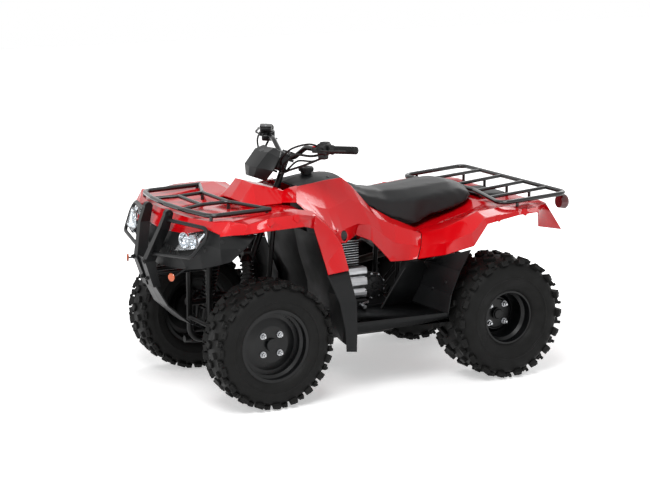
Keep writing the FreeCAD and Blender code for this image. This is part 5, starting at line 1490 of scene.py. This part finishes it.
@dataclass
class Studio:
    """A pale floor, soft lamps and the photograph's camera.

    Attributes:
        camera_at: Where the camera stands, in millimetres.
        camera_looks: The direction it looks along.
        lens_mm: Its focal length.
        sensor_mm: Width of its sensor.
        reach_m: How far it sees.
        floor_half_m: Half the floor's width.
        pool_m: Radii between which the floor brightens to plain white.
        pool_glow: The floor's own light within and beyond those radii.
        world_light: Strength of the light from all round.
        lamps: Name, place in metres, size in metres and power in watts of each lamp.
        lamps_aim_m: Height of the point that the lamps look at.
    """

    camera_at: Point = (4188.5, 7551.0, 2312.0)
    camera_looks: Point = (-0.4699, -0.8604, -0.1973)
    lens_mm: float = 110.31
    sensor_mm: float = 36.0
    reach_m: float = 60.0
    floor_half_m: float = 14.0
    pool_m: tuple[float, float] = (0.9, 2.4)
    pool_glow: tuple[float, float] = (0.45, 1.0)
    world_light: float = 0.24
    lamps: Sequence[tuple[str, Point, float, float]] = (
        ("key_lamp", (2.2, 3.0, 4.6), 2.6, 210.0), ("fill_lamp", (5.5, 1.0, 2.6), 2.5, 70.0),
        ("back_lamp", (-4.0, -2.5, 4.0), 3.0, 90.0))
    lamps_aim_m: float = 0.5

    def build(self) -> None:
        """Make the floor, the light and the camera."""
        self.floor()
        self.light()
        self.camera()

    def seen_directly(self, tree: bpy.types.NodeTree) -> bpy.types.NodeSocket:
        """Add the nodes that tell camera, glossy and transmitted rays from those that light the object.

        Args:
            tree: The node tree of the floor or the world.

        Returns:
            The socket that is one for such rays.
        """
        path = add_node(tree, "ShaderNodeLightPath")
        either = add_node(tree, "ShaderNodeMath", {"operation": "MAXIMUM"},
                          {0: path.outputs["Is Camera Ray"], 1: path.outputs["Is Glossy Ray"]})
        return add_node(tree, "ShaderNodeMath", {"operation": "MAXIMUM"},
                        {0: either.outputs[0], 1: path.outputs["Is Transmission Ray"]}).outputs[0]

    def floor(self) -> None:
        """Make the floor."""
        bm = bmesh.new()
        bmesh.ops.create_grid(bm, x_segments=2, y_segments=2, size=self.floor_half_m)
        mesh = mesh_of("studio_floor", bm)
        floor = add_object("studio_floor", mesh)
        made = bpy.data.materials.new("studio_white")
        made.use_nodes = True
        tree = made.node_tree
        shader = tree.nodes["Principled BSDF"]
        shader.inputs["Base Color"].default_value = linear("F4F4F4")
        shader.inputs["Roughness"].default_value = 0.7
        place = add_node(tree, "ShaderNodeTexCoord").outputs["Object"]
        away = add_node(tree, "ShaderNodeVectorMath", {"operation": "LENGTH"}, {0: place})
        lift = add_node(tree, "ShaderNodeMapRange", {"interpolation_type": "SMOOTHSTEP"},
                        {"Value": away.outputs["Value"], "From Min": self.pool_m[0],
                         "From Max": self.pool_m[1], "To Min": self.pool_glow[0],
                         "To Max": self.pool_glow[1]})
        glow = add_node(tree, "ShaderNodeEmission", None,
                        {"Color": linear("FFFFFF"), "Strength": lift.outputs["Result"]})
        both = add_node(tree, "ShaderNodeAddShader", None, {0: shader.outputs[0], 1: glow.outputs[0]})
        self.mix_seen(tree, shader, both, "Material Output")
        mesh.materials.append(made)

    def mix_seen(self, tree: bpy.types.NodeTree, plain: bpy.types.Node, bright: bpy.types.Node,
                 output: str) -> None:
        """Show one shader to the rays that are seen directly and the other to the rest.

        Args:
            tree: The node tree of the floor or the world.
            plain: The shader that lights the object.
            bright: The shader that is seen.
            output: Name of the tree's output node.
        """
        seen = add_node(tree, "ShaderNodeMixShader", None,
                        {0: self.seen_directly(tree), 1: plain.outputs[0], 2: bright.outputs[0]})
        tree.links.new(seen.outputs[0], tree.nodes[output].inputs["Surface"])

    def light(self) -> None:
        """Make the world and three soft lamps."""
        world = bpy.data.worlds.new("studio_world")
        bpy.context.scene.world = world
        world.use_nodes = True
        tree = world.node_tree
        plain = tree.nodes["Background"]
        plain.inputs["Color"].default_value = linear("FFFFFF")
        plain.inputs["Strength"].default_value = self.world_light
        bright = add_node(tree, "ShaderNodeBackground", None, {"Color": linear("FFFFFF"), "Strength": 1.0})
        self.mix_seen(tree, plain, bright, "World Output")
        for name, spot, size, watts in self.lamps:
            lamp = bpy.data.lights.new(name, "AREA")
            lamp.size = size
            lamp.energy = watts
            thing = add_object(name, lamp)
            thing.location = spot
            away = Vector(spot) - Vector((0, 0, self.lamps_aim_m))
            thing.rotation_euler = away.to_track_quat("Z", "Y").to_euler()
        bpy.context.scene.view_settings.view_transform = "Standard"

    def camera(self) -> None:
        """Make the camera of the photograph."""
        data = bpy.data.cameras.new("photo_camera")
        data.sensor_width = self.sensor_mm
        data.lens = self.lens_mm
        data.clip_end = self.reach_m
        camera = add_object("photo_camera", data)
        camera.location = metres(self.camera_at)
        camera.rotation_mode = "QUATERNION"
        camera.rotation_quaternion = Vector(self.camera_looks).to_track_quat("-Z", "Y")
        bpy.context.scene.camera = camera


def main() -> None:
    """Dress the whole vehicle."""
    logging.basicConfig(level=logging.INFO, format="%(name)s: %(message)s")
    Studio().build()
    for assembly in (Bodywork, Wheels, Seat, Running, Engine, Lamps, Controls, Guards, Fasteners):
        assembly().build()


if __name__ == "__main__":
    main()
